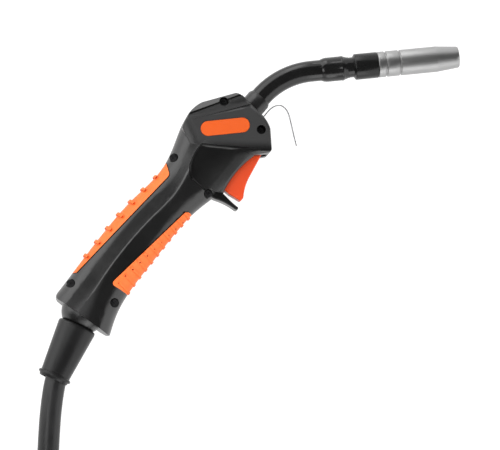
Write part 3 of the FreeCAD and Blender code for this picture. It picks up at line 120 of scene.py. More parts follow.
# %% [markdown]
# ## The camera
# The photograph was taken from far above with a long lens, so the torch shows hardly any
# perspective. The camera stands 2.5 m away and a little towards the cable's side, and its
# frame is 382 mm wide at the torch.

# %% Camera
FRAME_WIDTH = 0.3823
CAMERA_DISTANCE = 2.5
CAMERA_TILT = math.radians(7.5)
CAMERA_SIDE = math.radians(225)
SENSOR_WIDTH = 36.0
target = Vector((-0.0009, -0.00815, 0.02))

camera_data = bpy.data.cameras.new("camera")
camera_data.sensor_width = SENSOR_WIDTH
camera_data.lens = SENSOR_WIDTH * CAMERA_DISTANCE / FRAME_WIDTH
camera_data.clip_start = 0.1
camera_data.clip_end = 20.0
camera = bpy.data.objects.new("camera", camera_data)
bpy.context.scene.collection.objects.link(camera)
bpy.context.scene.camera = camera
lean = math.sin(CAMERA_TILT)
away = Vector((lean * math.cos(CAMERA_SIDE), lean * math.sin(CAMERA_SIDE), math.cos(CAMERA_TILT)))
back = away.normalized()
right = Vector((0, 1, 0)).cross(back).normalized()
upward = back.cross(right)
facing = Matrix((right, upward, back)).transposed().to_4x4()
camera.matrix_world = Matrix.Translation(target + back * CAMERA_DISTANCE) @ facing
print("camera at", tuple(camera.location), "lens", round(camera_data.lens, 1))

# %% [markdown]
# ## The free cable
# A welding cable is thick and stiff. It leaves the boot in line with it, sinks to the floor
# over about 150 mm, and then lies in a neat coil. A NURBS curve passes smoothly near its
# control points, which is how a stiff cable bends: it has no corners at all.

# %% The cable's route
CABLE_RADIUS = 8.2
CABLE_START = 26.0
BALL_HEIGHT = 20.1
LOWER_LAYER_HEIGHT = 9.4
COIL_CENTRE = BALL + Vector((80.3, -236.0, LOWER_LAYER_HEIGHT - BALL_HEIGHT)) * MM
COIL_OUTER = 109.0
COIL_PITCH = 17.2
COIL_RISE = 17.0
COIL_TURNS = 5.25
END_STRAIGHT = 38.0
LEAD_FROM_BALL = [
    (-24.4, -69.4, -0.8),
    (-26.2, -96.4, -3.0),
    (-27.2, -131.0, -7.4),
    (-28.2, -167.0, -10.1),
]


def coil_point(turned_by):
    """A point of the coil's centreline, after so many radians from where the cable enters."""
    middle = math.pi * COIL_TURNS
    inward = turned_by if turned_by < middle else 2 * middle - turned_by
    radius = COIL_OUTER - COIL_PITCH * inward / (2 * math.pi)
    share = min(max((turned_by - middle) / math.pi + 0.5, 0.0), 1.0)
    lift = COIL_RISE * (1 - math.cos(math.pi * share)) / 2
    angle = math.pi + turned_by
    return COIL_CENTRE + Vector((radius * math.cos(angle), radius * math.sin(angle), lift)) * MM


BOOT_STRAIGHT = 23.0
ENTRY_STRAIGHT = 24.0
entry = COIL_CENTRE + Vector((-COIL_OUTER, 2 * CABLE_RADIUS, 0)) * MM
route = [on_boot(CABLE_START), on_boot(CABLE_START + BOOT_STRAIGHT)]
route += [BALL + Vector(step) * MM for step in LEAD_FROM_BALL]
route += [entry + Vector((0, ENTRY_STRAIGHT * MM, 0)), entry]
POINTS_A_TURN = 20
steps = round(COIL_TURNS * POINTS_A_TURN)
route += [coil_point(2 * math.pi * step / POINTS_A_TURN) for step in range(steps + 1)]
coil_end = route[-1]
route += [coil_end + Vector((END_STRAIGHT * share, 0, 0)) * MM for share in (0.5, 1.0)]
print("points on the route", len(route))

# %% A function for cables and wires
CURVE_STEPS = 6


def cable_curve(name, points, radius):
    """A round cable or wire along a smooth NURBS line that follows the given places."""
    curve = bpy.data.curves.new(name, "CURVE")
    curve.dimensions = "3D"
    curve.bevel_depth = radius * MM
    curve.bevel_resolution = CURVE_STEPS
    curve.resolution_u = CURVE_STEPS
    curve.use_fill_caps = True
    spline = curve.splines.new("NURBS")
    spline.points.add(len(points) - 1)
    for point, place in zip(spline.points, points):
        point.co = (*place, 1.0)
    spline.order_u = 3
    spline.use_endpoint_u = True
    piece = bpy.data.objects.new(name, curve)
    bpy.context.scene.collection.objects.link(piece)
    return piece


def length_of(piece):
    """The length of a curve, read from its own smooth line."""
    plain = piece.data.copy()
    plain.bevel_depth = 0
    carrier = bpy.data.objects.new("measure", plain)
    line = bpy.data.meshes.new_from_object(carrier)
    total = sum((line.vertices[a].co - line.vertices[b].co).length
                for a, b in (edge.vertices for edge in line.edges))
    bpy.data.objects.remove(carrier)
    bpy.data.meshes.remove(line)
    bpy.data.curves.remove(plain)
    return total

# %% Lay the free cable
free_cable = cable_curve("free_cable", route, CABLE_RADIUS)
cable_length = length_of(free_cable)
print("free cable length", round(cable_length, 3))

# %% [markdown]
# ## Light and floor
# In the photograph every round black piece has a grey band, a black band and a grey band
# along it, with crisp borders. So two large softboxes stand low at the upper left and the
# lower right, and two smaller ones close the gaps for the front end, which lies another
# way. A fifth stands high at the left for the head's cheek. Nothing bright hangs straight
# overhead to be mirrored. The colours are lit from above by two more lamps that no shiny
# surface mirrors. The floor is nearly white by itself, so that the shadow on it stays faint.

# %% Helpers for selecting and for materials
def deselect_all():
    """Nothing selected, so that the next operator acts on its own piece alone."""
    bpy.ops.object.select_all(action="DESELECT")


def select_only(piece):
    """One piece selected and active."""
    deselect_all()
    piece.select_set(True)
    bpy.context.view_layer.objects.active = piece


def new_material(name):
    """A new material with its nodes and links, ready to be wired."""
    material = bpy.data.materials.new(name)
    material.use_nodes = True
    return material, material.node_tree.nodes, material.node_tree.links

# %% The floor
FLOOR_SIZE = 6.0
FLOOR_GREY = 0.3
FLOOR_ROUGHNESS = 0.9
FLOOR_GLOW = 0.84

deselect_all()
bpy.ops.mesh.primitive_plane_add(size=FLOOR_SIZE, location=(0, 0, 0))
floor = bpy.context.active_object
floor.name = "floor"
material, nodes, links = new_material("white_floor")
surface = nodes["Principled BSDF"]
surface.inputs["Base Color"].default_value = (FLOOR_GREY, FLOOR_GREY, FLOOR_GREY, 1)
surface.inputs["Roughness"].default_value = FLOOR_ROUGHNESS
light_path = nodes.new("ShaderNodeLightPath")
seen_or_mirrored = nodes.new("ShaderNodeMath")
seen_or_mirrored.operation = "MAXIMUM"
seen_at_all = nodes.new("ShaderNodeMath")
seen_at_all.operation = "MAXIMUM"
glow = nodes.new("ShaderNodeMath")
glow.operation = "MULTIPLY"
glow.inputs[1].default_value = FLOOR_GLOW
links.new(light_path.outputs["Is Camera Ray"], seen_or_mirrored.inputs[0])
links.new(light_path.outputs["Is Glossy Ray"], seen_or_mirrored.inputs[1])
links.new(seen_or_mirrored.outputs[0], seen_at_all.inputs[0])
links.new(light_path.outputs["Is Transmission Ray"], seen_at_all.inputs[1])
links.new(seen_at_all.outputs[0], glow.inputs[0])
surface.inputs["Emission Color"].default_value = (1, 1, 1, 1)
links.new(glow.outputs[0], surface.inputs["Emission Strength"])
floor.data.materials.append(material)
print("floor", FLOOR_SIZE, "m wide")

# %% The world and the lamps
WORLD_STRENGTH = 0.06
world = bpy.data.worlds.new("studio")
bpy.context.scene.world = world
world.use_nodes = True
backdrop = world.node_tree.nodes["Background"]
backdrop.inputs["Color"].default_value = (1, 1, 1, 1)
backdrop.inputs["Strength"].default_value = WORLD_STRENGTH


def soft_lamp(name, place, aim_at, size, power, mirrored=True):
    """A rectangular softbox at one place, turned to face another, with its power in watts."""
    lamp_data = bpy.data.lights.new(name, "AREA")
    lamp_data.shape = "RECTANGLE"
    lamp_data.size, lamp_data.size_y = size
    lamp_data.energy = power
    lamp = bpy.data.objects.new(name, lamp_data)
    bpy.context.scene.collection.objects.link(lamp)
    lamp.location = place
    aim = (Vector(aim_at) - Vector(place)).to_track_quat("-Z", "Y")
    lamp.rotation_euler = aim.to_euler()
    lamp.visible_glossy = mirrored


BOX_HEIGHT = 0.92
BOX_ABOVE_FLOOR = 0.02
MIDDLE = BOX_HEIGHT / 2 + BOX_ABOVE_FLOOR
soft_lamp("box_upper_left", (-0.76, 0.66, MIDDLE), (0, 0, MIDDLE), (2.2, BOX_HEIGHT), 17)
soft_lamp("box_lower_right", (0.72, -0.7, MIDDLE), (0, 0, MIDDLE), (2.2, BOX_HEIGHT), 11)
soft_lamp("box_top", (0.35, 1.05, MIDDLE), (0.08, 0, MIDDLE), (1.3, BOX_HEIGHT), 4)
soft_lamp("box_bottom", (-0.1, -1.05, MIDDLE), (0, 0, MIDDLE), (1.0, BOX_HEIGHT), 4)
soft_lamp("box_high_left", (-0.75, -0.15, 1.05), (0, 0, 0), (0.7, 0.5), 4)
soft_lamp("colour_key", (-0.2, 0.25, 1.6), (0, 0, 0), (1.4, 1.4), 15, mirrored=False)
soft_lamp("colour_fill", (0.5, -0.6, 1.0), (0, 0, 0), (1.0, 1.0), 7, mirrored=False)
bpy.context.scene.view_settings.view_transform = "Standard"
print("lamps", len(bpy.data.lights))

# %% [markdown]
# ## Surface effects that several materials share
# Moulded plastic and rubber have a fine grain from the mould, everything that is handled has
# slightly smoother and duller places, and turned metal has fine marks round its axis. Each
# of the three effects is one node group, so that every material can take it with its own
# values.

# %% A helper for node groups
def new_group(name, inputs, outputs):
    """An empty node group with named sockets, and the nodes at its two ends."""
    group = bpy.data.node_groups.new(name, "ShaderNodeTree")
    for label, kind, value in inputs:
        socket = group.interface.new_socket(label, in_out="INPUT", socket_type=kind)
        socket.default_value = value
    for label, kind in outputs:
        group.interface.new_socket(label, in_out="OUTPUT", socket_type=kind)
    start = group.nodes.new("NodeGroupInput")
    end = group.nodes.new("NodeGroupOutput")
    return group, start, end

# %% The mould's grain
def mould_grain_group():
    """A fine grain with a slow wave in it, as a height."""
    group, start, end = new_group(
        "mould_grain",
        [("Grain Scale", "NodeSocketFloat", 2600.0), ("Wave Scale", "NodeSocketFloat", 90.0),
         ("Wave Share", "NodeSocketFloat", 0.3)],
        [("Height", "NodeSocketFloat")],
    )
    place = group.nodes.new("ShaderNodeTexCoord")
    grain = group.nodes.new("ShaderNodeTexNoise")
    grain.inputs["Detail"].default_value = 3.0
    wave = group.nodes.new("ShaderNodeTexNoise")
    wave.inputs["Detail"].default_value = 1.0
    mix = group.nodes.new("ShaderNodeMix")
    group.links.new(place.outputs["Object"], grain.inputs["Vector"])
    group.links.new(place.outputs["Object"], wave.inputs["Vector"])
    group.links.new(start.outputs["Grain Scale"], grain.inputs["Scale"])
    group.links.new(start.outputs["Wave Scale"], wave.inputs["Scale"])
    group.links.new(start.outputs["Wave Share"], mix.inputs["Factor"])
    group.links.new(grain.outputs["Fac"], mix.inputs["A"])
    group.links.new(wave.outputs["Fac"], mix.inputs["B"])
    group.links.new(mix.outputs["Result"], end.inputs["Height"])
    return group


mould_grain = mould_grain_group()
print("node group", mould_grain.name)

# %% Traces of handling
def handling_group():
    """A colour and a roughness that change in soft clouds, as handling leaves them."""
    group, start, end = new_group(
        "handling",
        [("Color", "NodeSocketColor", (0.5, 0.5, 0.5, 1)),
         ("Rubbed Color", "NodeSocketColor", (0.4, 0.4, 0.4, 1)),
         ("Amount", "NodeSocketFloat", 0.5), ("Scale", "NodeSocketFloat", 40.0),
         ("Roughness", "NodeSocketFloat", 0.4), ("Roughness Spread", "NodeSocketFloat", 0.1)],
        [("Color", "NodeSocketColor"), ("Roughness", "NodeSocketFloat")],
    )
    place = group.nodes.new("ShaderNodeTexCoord")
    cloud = group.nodes.new("ShaderNodeTexNoise")
    cloud.inputs["Detail"].default_value = 5.0
    cloud.inputs["Roughness"].default_value = 0.6
    spread = group.nodes.new("ShaderNodeMapRange")
    spread.inputs["From Min"].default_value = 0.35
    spread.inputs["From Max"].default_value = 0.7
    share = group.nodes.new("ShaderNodeMath")
    share.operation = "MULTIPLY"
    mix = group.nodes.new("ShaderNodeMix")
    mix.data_type = "RGBA"
    rough = group.nodes.new("ShaderNodeMath")
    rough.operation = "MULTIPLY_ADD"
    group.links.new(place.outputs["Object"], cloud.inputs["Vector"])
    group.links.new(start.outputs["Scale"], cloud.inputs["Scale"])
    group.links.new(cloud.outputs["Fac"], spread.inputs["Value"])
    group.links.new(spread.outputs["Result"], share.inputs[0])
    group.links.new(start.outputs["Amount"], share.inputs[1])
    group.links.new(share.outputs[0], mix.inputs["Factor"])
    group.links.new(start.outputs["Color"], mix.inputs[6])
    group.links.new(start.outputs["Rubbed Color"], mix.inputs[7])
    group.links.new(spread.outputs["Result"], rough.inputs[0])
    group.links.new(start.outputs["Roughness Spread"], rough.inputs[1])
    group.links.new(start.outputs["Roughness"], rough.inputs[2])
    group.links.new(mix.outputs[2], end.inputs["Color"])
    group.links.new(rough.outputs[0], end.inputs["Roughness"])
    return group


handling = handling_group()
print("node group", handling.name)

# %% Marks of turning
def turned_marks_group():
    """Fine marks square to the front end's axis, as a height."""
    group, start, end = new_group(
        "turned_marks",
        [("Marks A Metre", "NodeSocketFloat", 2500.0)],
        [("Height", "NodeSocketFloat")],
    )
    place = group.nodes.new("ShaderNodeTexCoord")
    along = group.nodes.new("ShaderNodeMapping")
    along.vector_type = "TEXTURE"
    along.inputs["Rotation"].default_value = (0, 0, FRONT_ANGLE)
    stretch = group.nodes.new("ShaderNodeMapping")
    stretch.inputs["Scale"].default_value = (1.0, 0.002, 0.002)
    marks = group.nodes.new("ShaderNodeTexNoise")
    marks.inputs["Detail"].default_value = 2.0
    group.links.new(place.outputs["Object"], along.inputs["Vector"])
    group.links.new(along.outputs["Vector"], stretch.inputs["Vector"])
    group.links.new(stretch.outputs["Vector"], marks.inputs["Vector"])
    group.links.new(start.outputs["Marks A Metre"], marks.inputs["Scale"])
    group.links.new(marks.outputs["Fac"], end.inputs["Height"])
    return group


turned_marks = turned_marks_group()
print("node group", turned_marks.name)

# %% [markdown]
# ## The torch's finishes
# Each material is named for a finish of the real torch, such as satin plastic, rubber, bright
# wire or turned metal. One function makes them all. The handling group varies the colour and
# the gloss, one of the other two groups gives a relief where there is one, and what is the
# same all over is set on the material's own shader.

# %% A function for finishes
COAT_ROUGHNESS = 0.08
BUMP_STRENGTH = 0.6


def finish_material(name, color, rubbed, roughness, spread=0.08, amount=0.5, scale=40.0,
                    metallic=0.0, bump=None, bump_depth=0.00004, coat=0.0, specular=0.5, **bump_values):
    """A material whose colour and roughness vary with handling, over a bump of its own."""
    material, nodes, links = new_material(name)
    surface = nodes["Principled BSDF"]
    worn = nodes.new("ShaderNodeGroup")
    worn.node_tree = handling
    worn.inputs["Color"].default_value = (*color, 1)
    worn.inputs["Rubbed Color"].default_value = (*rubbed, 1)
    worn.inputs["Amount"].default_value = amount
    worn.inputs["Scale"].default_value = scale
    worn.inputs["Roughness"].default_value = roughness
    worn.inputs["Roughness Spread"].default_value = spread
    links.new(worn.outputs["Color"], surface.inputs["Base Color"])
    links.new(worn.outputs["Roughness"], surface.inputs["Roughness"])
    surface.inputs["Metallic"].default_value = metallic
    surface.inputs["Coat Weight"].default_value = coat
    surface.inputs["Coat Roughness"].default_value = COAT_ROUGHNESS
    surface.inputs["Specular IOR Level"].default_value = specular
    if bump is not None:
        relief = nodes.new("ShaderNodeGroup")
        relief.node_tree = bump
        for label, value in bump_values.items():
            relief.inputs[label.replace("_", " ").title()].default_value = value
        raised = nodes.new("ShaderNodeBump")
        raised.inputs["Strength"].default_value = BUMP_STRENGTH
        raised.inputs["Distance"].default_value = bump_depth
        links.new(relief.outputs["Height"], raised.inputs["Height"])
        links.new(raised.outputs["Normal"], surface.inputs["Normal"])
    return material

# %% Make the finishes
MATERIALS = {
    "black_plastic": finish_material(
        "satin_black_plastic", (0.0025, 0.0025, 0.0025), (0.004, 0.004, 0.004), 0.32, 0.06,
        bump=mould_grain, bump_depth=0.00006, wave_share=0.1, specular=0.65),
    "orange_grip": finish_material(
        "orange_rubber", (0.86, 0.172, 0.033), (0.79, 0.145, 0.029), 0.5, 0.12, scale=120.0,
        bump=mould_grain, bump_depth=0.00008, specular=0.3),
    "badge_orange": finish_material(
        "glossy_orange", (0.62, 0.088, 0.009), (0.59, 0.078, 0.007), 0.2, 0.05, coat=0.4,
        specular=0.3),
    "trigger_red": finish_material(
        "red_trigger_plastic", (0.66, 0.058, 0.008), (0.6, 0.05, 0.007), 0.34, 0.08,
        bump=mould_grain, bump_depth=0.00005, specular=0.3),
    "screw_black": finish_material(
        "blackened_steel", (0.03, 0.03, 0.032), (0.1, 0.1, 0.1), 0.35, 0.2, metallic=0.8,
        scale=300.0),
    "pin_steel": finish_material(
        "bright_wire", (0.75, 0.75, 0.76), (0.6, 0.6, 0.61), 0.3, 0.15, metallic=1.0,
        scale=200.0),
    "spring_steel": finish_material(
        "spring_steel", (0.5, 0.5, 0.52), (0.35, 0.35, 0.36), 0.3, 0.15, metallic=1.0,
        scale=200.0),
    "switch_grey": finish_material(
        "grey_switch_plastic", (0.05, 0.05, 0.055), (0.08, 0.08, 0.08), 0.4),
    "neck_black": finish_material(
        "glossy_neck_sleeve", (0.005, 0.005, 0.005), (0.009, 0.009, 0.009), 0.16, 0.06, scale=70.0,
        bump=mould_grain, bump_depth=0.0001, grain_scale=500.0, wave_share=0.7, specular=0.42),
    "neck_copper": finish_material(
        "copper_tube", (0.72, 0.33, 0.2), (0.5, 0.22, 0.14), 0.3, 0.2, metallic=1.0, scale=90.0),
    "liner_steel": finish_material(
        "liner_steel", (0.4, 0.4, 0.42), (0.3, 0.3, 0.32), 0.35, 0.1, metallic=1.0),
    "collar_black": finish_material(
        "collar_plastic", (0.008, 0.008, 0.008), (0.014, 0.014, 0.014), 0.26, 0.08,
        bump=mould_grain),
    "brass": finish_material(
        "machined_brass", (0.75, 0.52, 0.22), (0.55, 0.36, 0.15), 0.28, 0.15, metallic=1.0,
        scale=120.0, bump=turned_marks, bump_depth=0.00002),
    "sleeve_black": finish_material(
        "hard_black_sleeve", (0.004, 0.004, 0.004), (0.008, 0.008, 0.008), 0.24, 0.08,
        bump=mould_grain, bump_depth=0.00004, specular=0.32),
    "tip_copper": finish_material(
        "machined_copper", (0.82, 0.38, 0.22), (0.6, 0.27, 0.16), 0.25, 0.15, metallic=1.0,
        scale=150.0, bump=turned_marks, bump_depth=0.00002),
    "diffuser_white": finish_material(
        "unglazed_ceramic", (0.75, 0.7, 0.62), (0.6, 0.55, 0.48), 0.7, 0.1,
        bump=mould_grain),
    "nozzle_nickel": finish_material(
        "turned_nickel", (0.36, 0.36, 0.36), (0.31, 0.31, 0.305), 0.42, 0.05, amount=0.3,
        metallic=1.0, scale=40.0, bump=turned_marks, bump_depth=0.00003),
    "bush_steel": finish_material(
        "rolled_steel", (0.45, 0.45, 0.46), (0.35, 0.35, 0.36), 0.35, 0.1, metallic=1.0),
    "boot_rubber": finish_material(
        "boot_rubber", (0.006, 0.006, 0.0062), (0.011, 0.011, 0.0113), 0.36, 0.08,
        bump=mould_grain, bump_depth=0.0001, specular=0.32),
    "cable_rubber": finish_material(
        "cable_sheath", (0.009, 0.009, 0.0093), (0.016, 0.016, 0.0165), 0.36, 0.1, scale=60.0,
        bump=mould_grain, bump_depth=0.0001, grain_scale=1400.0, wave_share=0.5, specular=0.4),
    "tie_fabric": finish_material(
        "woven_strap", (0.03, 0.03, 0.033), (0.05, 0.05, 0.052), 0.75, 0.1,
        bump=mould_grain, bump_depth=0.0002, grain_scale=1200.0),
    "seal_rubber": finish_material(
        "seal_rubber", (0.01, 0.01, 0.01), (0.02, 0.02, 0.02), 0.35, 0.1),
}
print(len(MATERIALS), "materials")

# %% [markdown]
# ## Painted sheen on the cheeks
# The handle lies on its two broad sides. Where its black plastic stands furthest from the
# middle plane it is painted paler, a painted sheen for the light on these high faces. The height
# alone tells where that is, so the material reads it and fades from one colour to the other.

# %% Paint a sheen on the cheeks
CHEEK_SHEEN_START = 18.3
CHEEK_SHEEN_END = 19.9
# The paler colour of the painted sheen on the high faces.
SHEEN_PLASTIC = (0.027, 0.027, 0.0272)


def paint_cheek_sheen(material):
    """Painted sheen: paler plastic where a moulding stands furthest from the torch's middle plane."""
    nodes, links = material.node_tree.nodes, material.node_tree.links
    surface = nodes["Principled BSDF"]
    handled = surface.inputs["Base Color"].links[0].from_socket
    place = nodes.new("ShaderNodeTexCoord")
    axes = nodes.new("ShaderNodeSeparateXYZ")
    above_middle = nodes.new("ShaderNodeMath")
    above_middle.operation = "SUBTRACT"
    above_middle.inputs[1].default_value = BALL.z
    off_middle = nodes.new("ShaderNodeMath")
    off_middle.operation = "ABSOLUTE"
    sheen_mask = nodes.new("ShaderNodeMapRange")
    sheen_mask.interpolation_type = "SMOOTHSTEP"
    sheen_mask.inputs["From Min"].default_value = CHEEK_SHEEN_START * MM
    sheen_mask.inputs["From Max"].default_value = CHEEK_SHEEN_END * MM
    mix = nodes.new("ShaderNodeMix")
    mix.data_type = "RGBA"
    mix.inputs[7].default_value = (*SHEEN_PLASTIC, 1)
    links.new(place.outputs["Object"], axes.inputs[0])
    links.new(axes.outputs["Z"], above_middle.inputs[0])
    links.new(above_middle.outputs[0], off_middle.inputs[0])
    links.new(off_middle.outputs[0], sheen_mask.inputs["Value"])
    links.new(sheen_mask.outputs["Result"], mix.inputs["Factor"])
    links.new(handled, mix.inputs[6])
    links.new(mix.outputs[2], surface.inputs["Base Color"])


# A painted sheen: the highest faces of the black plastic are coloured paler.
paint_cheek_sheen(MATERIALS["black_plastic"])
print("cheeks worn from", CHEEK_SHEEN_START, "mm off the middle plane")

# %% [markdown]
# ## A finish for every piece
# The construction record names a material slot for each piece. The plain material comes off
# each piece, and the finish of its slot goes on.

# %% Give each piece its finish
slot_of = {item["node"]: item["material_slot"] for item in frame["record"]["subparts"]}
for node, piece in frame["nodes"].items():
    piece.data.materials.clear()
    piece.data.materials.append(MATERIALS[slot_of[node]])
print(len(slot_of), "pieces with a finish")

# %% [markdown]
# ## The ring where the nozzle tapers
# The nozzle starts to taper at a ring that is too blunt to be found by its angle. Its edges
# are found by their place along the nozzle's axis instead, and marked as sharp.

# %% A function for the taper's ring
TAPER_START = 121.3
RING_SLACK = 0.1


def sharpen_taper(piece):
    """Mark the ring where the nozzle starts to taper, which is too blunt to be found by angle."""
    axis = (on_front(1) - on_front(0)).normalized()
    count = 0
    for edge in piece.data.edges:
        places = [piece.data.vertices[index].co for index in edge.vertices]
        ends = [(place - NECK_CORNER).dot(axis) / MM for place in places]
        if all(abs(end - TAPER_START) < RING_SLACK for end in ends):
            edge.use_edge_sharp = True
            count += 1
    print("taper edges", count)

# %% [markdown]
# ## Pits in the front pad
# Each rib of the front pad has a small pit at its inner end, which looks dark. A ray from each
# broad side finds the rubber's surface, a ball is set into it there, and all the balls are cut
# out of the pad at once. The balls' darker material stays on the pits' walls as painted shade.

# %% A function for the pits
PIT_ROW = ((31.7, -6.0), (99.9, -13.2))
PIT_COUNT = 10
PIT_RADIUS = 0.75
PIT_DEPTH = 1.0
CLEAR_ABOVE = 60.0
# Darker orange rubber on the pits' walls, as painted shade.
pit_shade_rubber = finish_material(
    "pit_shade_orange_rubber", (0.42, 0.045, 0.012), (0.3, 0.03, 0.01), 0.6, 0.1, scale=120.0,
    bump=mould_grain, bump_depth=0.00008, specular=0.2)


def sink_pits(pad):
    """A small pit at the inner end of each rib of the front pad, on both broad sides."""
    cutters = []
    for side in (1, -1):
        for number in range(PIT_COUNT):
            share = number / (PIT_COUNT - 1)
            along, across = (a + (b - a) * share for a, b in zip(*PIT_ROW))
            start = on_handle(along, across, side * CLEAR_ABOVE)
            found, spot, normal, _ = pad.ray_cast(start, Vector((0, 0, -side)))
            if not found:
                continue
            deselect_all()
            bpy.ops.mesh.primitive_uv_sphere_add(
                segments=16, ring_count=8, radius=PIT_RADIUS * MM,
                location=spot + normal * ((PIT_RADIUS - PIT_DEPTH) * MM))
            bpy.context.active_object.data.materials.append(pit_shade_rubber)
            cutters.append(bpy.context.active_object)
    deselect_all()
    for cutter in cutters:
        cutter.select_set(True)
    bpy.context.view_layer.objects.active = cutters[0]
    bpy.ops.object.join()
    select_only(pad)
    cut = pad.modifiers.new("pits", "BOOLEAN")
    cut.operation = "DIFFERENCE"
    cut.solver = "EXACT"
    cut.material_mode = "TRANSFER"
    cut.object = cutters[0]
    bpy.ops.object.modifier_apply(modifier="pits")
    bpy.data.objects.remove(cutters[0])
    print("pits", len(cutters))

# %% [markdown]
# ## Moulded and turned pieces with soft edges
# No moulded edge is knife sharp. A copy of each construction piece is joined up from its
# loose triangles, its flat triangles are merged into whole faces, and its sharp edges get a
# narrow bevel. The bevel is what catches the light along an edge. Last, the large faces
# lead the shading of the small ones beside them, so that broad sides look even.

# %% A function for soft edges
FLAT_SIDED = ("near_shell", "far_shell", "back_grip_pad", "front_grip_pad", "trigger")
JOIN_DISTANCE = 0.000005
FLAT_ANGLE = math.radians(0.1)
SHARP_ANGLE = math.radians(34.0)
BEVEL_SEGMENTS = 2


def refine(node, width):
    """A copy of a construction piece with narrow rounded edges, which replaces it."""
    source = frame["nodes"][node]
    select_only(source)
    bpy.ops.object.duplicate()
    piece = bpy.context.active_object
    piece.name = f"{node}_finished"
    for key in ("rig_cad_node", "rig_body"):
        del piece[key]
    piece.parent = None
    bpy.ops.object.mode_set(mode="EDIT")
    bpy.ops.mesh.select_all(action="SELECT")
    bpy.ops.mesh.remove_doubles(threshold=JOIN_DISTANCE)
    bpy.ops.mesh.dissolve_limited(angle_limit=FLAT_ANGLE)
    bpy.ops.object.mode_set(mode="OBJECT")
    if node == "front_grip_pad":
        sink_pits(piece)
    if width > 0:
        bevel = piece.modifiers.new("edges", "BEVEL")
        bevel.width = width
        bevel.segments = BEVEL_SEGMENTS
        bevel.limit_method = "ANGLE"
        bevel.angle_limit = SHARP_ANGLE
        bevel.use_clamp_overlap = True
        bevel.harden_normals = False
        bpy.ops.object.modifier_apply(modifier="edges")
    bpy.ops.object.shade_smooth_by_angle(angle=SHARP_ANGLE)
    if node == "gas_nozzle":
        sharpen_taper(piece)
    if node in FLAT_SIDED:
        even = piece.modifiers.new("even_shading", "WEIGHTED_NORMAL")
        even.keep_sharp = True
        even.weight = 100
        bpy.ops.object.modifier_apply(modifier="even_shading")
    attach(piece, body_of[node])
    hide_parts(node)
    print(piece.name, len(piece.data.polygons), "faces")
    return piece

# %% Refine the rigid pieces
body_of = {}
for body, members in frame["record"]["behaviour"]["bodies"].items():
    for node in members:
        body_of[node] = body

EDGE_WIDTHS = {
    "near_shell": 0.00025,
    "far_shell": 0.00025,
    "back_grip_pad": 0.0003,
    "front_grip_pad": 0.0003,
    "near_badge": 0.0002,
    "far_badge": 0.0002,
    "trigger": 0.0004,
    "neck_cover": 0.0,
    "neck_collar": 0.0003,
    "front_insulator": 0.0003,
    "gas_nozzle": 0.00015,
    "contact_tip": 0.0002,
    "ball_knuckle": 0.0003,
    "plug_upper_shell": 0.0004,
    "plug_lower_shell": 0.0004,
    "plug_nut": 0.0005,
    "plug_body": 0.0002,
    "plug_pipe": 0.0002,
}
for node, width in EDGE_WIDTHS.items():
    refine(node, width)

# %% [markdown]
# ## The springs
# A spring between two bodies can ride on only one of them. Each of the three springs is
# copied with its own mesh and rides on its body, and the copy keeps its length. On the real torch
# the trigger's spring follows the trigger's turn, which carries its far end in and a little to
# the rear, and a contact pin's spring loses the pin's whole travel.


def shortening(node):
    """Copy a spring with its own mesh, on its own body; the copy does not shorten."""
    piece = refine(node, 0.0)
    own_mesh(piece)


shortening("trigger_spring")
for side in ("left", "right"):
    shortening(f"{side}_pin_spring")

# %% [markdown]
# ## The strain boots
# A boot keeps the cable from kinking where it leaves the ball joint. The real one is soft
# rubber, turned in outline, with a thick rim at its end. Its outline is drawn as a line of
# points and spun round the cable's axis.

# %% A function for spun pieces
SPIN_STEPS = 96
SEAM_DISTANCE = 0.000002
ROUND_ANGLE = math.radians(40)


def spun(name, origin, angle, outline, slot):
    """A piece spun round a level axis, from (distance, radius) points in millimetres."""
    direction = Vector((math.cos(angle), math.sin(angle), 0))
    deselect_all()
    mesh = bpy.data.meshes.new(name)
    count = len(outline)
    places = [origin + direction * (x * MM) + Vector((0, 0, r * MM)) for x, r in outline]
    mesh.from_pydata(places, [(n, (n + 1) % count) for n in range(count)], [])
    piece = bpy.data.objects.new(name, mesh)
    bpy.context.scene.collection.objects.link(piece)
    select_only(piece)
    bpy.ops.object.mode_set(mode="EDIT")
    bpy.ops.mesh.select_all(action="SELECT")
    bpy.ops.mesh.spin(steps=SPIN_STEPS, angle=2 * math.pi, center=origin, axis=direction)
    bpy.ops.mesh.select_all(action="SELECT")
    bpy.ops.mesh.remove_doubles(threshold=SEAM_DISTANCE)
    bpy.ops.mesh.normals_make_consistent(inside=False)
    bpy.ops.object.mode_set(mode="OBJECT")
    bpy.ops.object.shade_smooth_by_angle(angle=ROUND_ANGLE)
    piece.data.materials.append(MATERIALS[slot])
    return piece

# %% Spin the two boots
boot_outline = [
    (12.0, 12.55), (13.9, 10.4), (26.0, 10.4), (26.0, 8.5), (45.0, 8.9), (57.0, 10.4),
    (57.0, 10.9), (56.6, 11.2), (54.9, 11.75), (55.0, 12.4), (54.75, 12.75), (54.3, 12.85),
    (53.5, 12.85), (53.1, 12.6), (52.9, 12.1), (52.6, 11.6), (51.9, 11.45), (14.5, 14.75),
    (13.3, 14.75), (12.4, 14.3), (12.0, 13.6),
]
boot = spun("cable_boot", BALL, BOOT_ANGLE, boot_outline, "boot_rubber")
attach(boot, "cable_side")
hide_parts("strain_boot")

plug_origin = coil_end + Vector((END_STRAIGHT, 0, 0)) * MM
plug_boot_outline = [
    (-12.0, 8.2), (44.0, 8.2), (44.0, 13.0), (40.0, 12.8), (0.0, 10.6), (-10.5, 10.1),
    (-11.5, 9.9), (-12.0, 9.4),
]
plug_boot = spun("connector_boot", plug_origin, 0.0, plug_boot_outline, "boot_rubber")
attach(plug_boot, "cable_side")
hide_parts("plug_boot")
print("boots", boot.name, plug_boot.name)

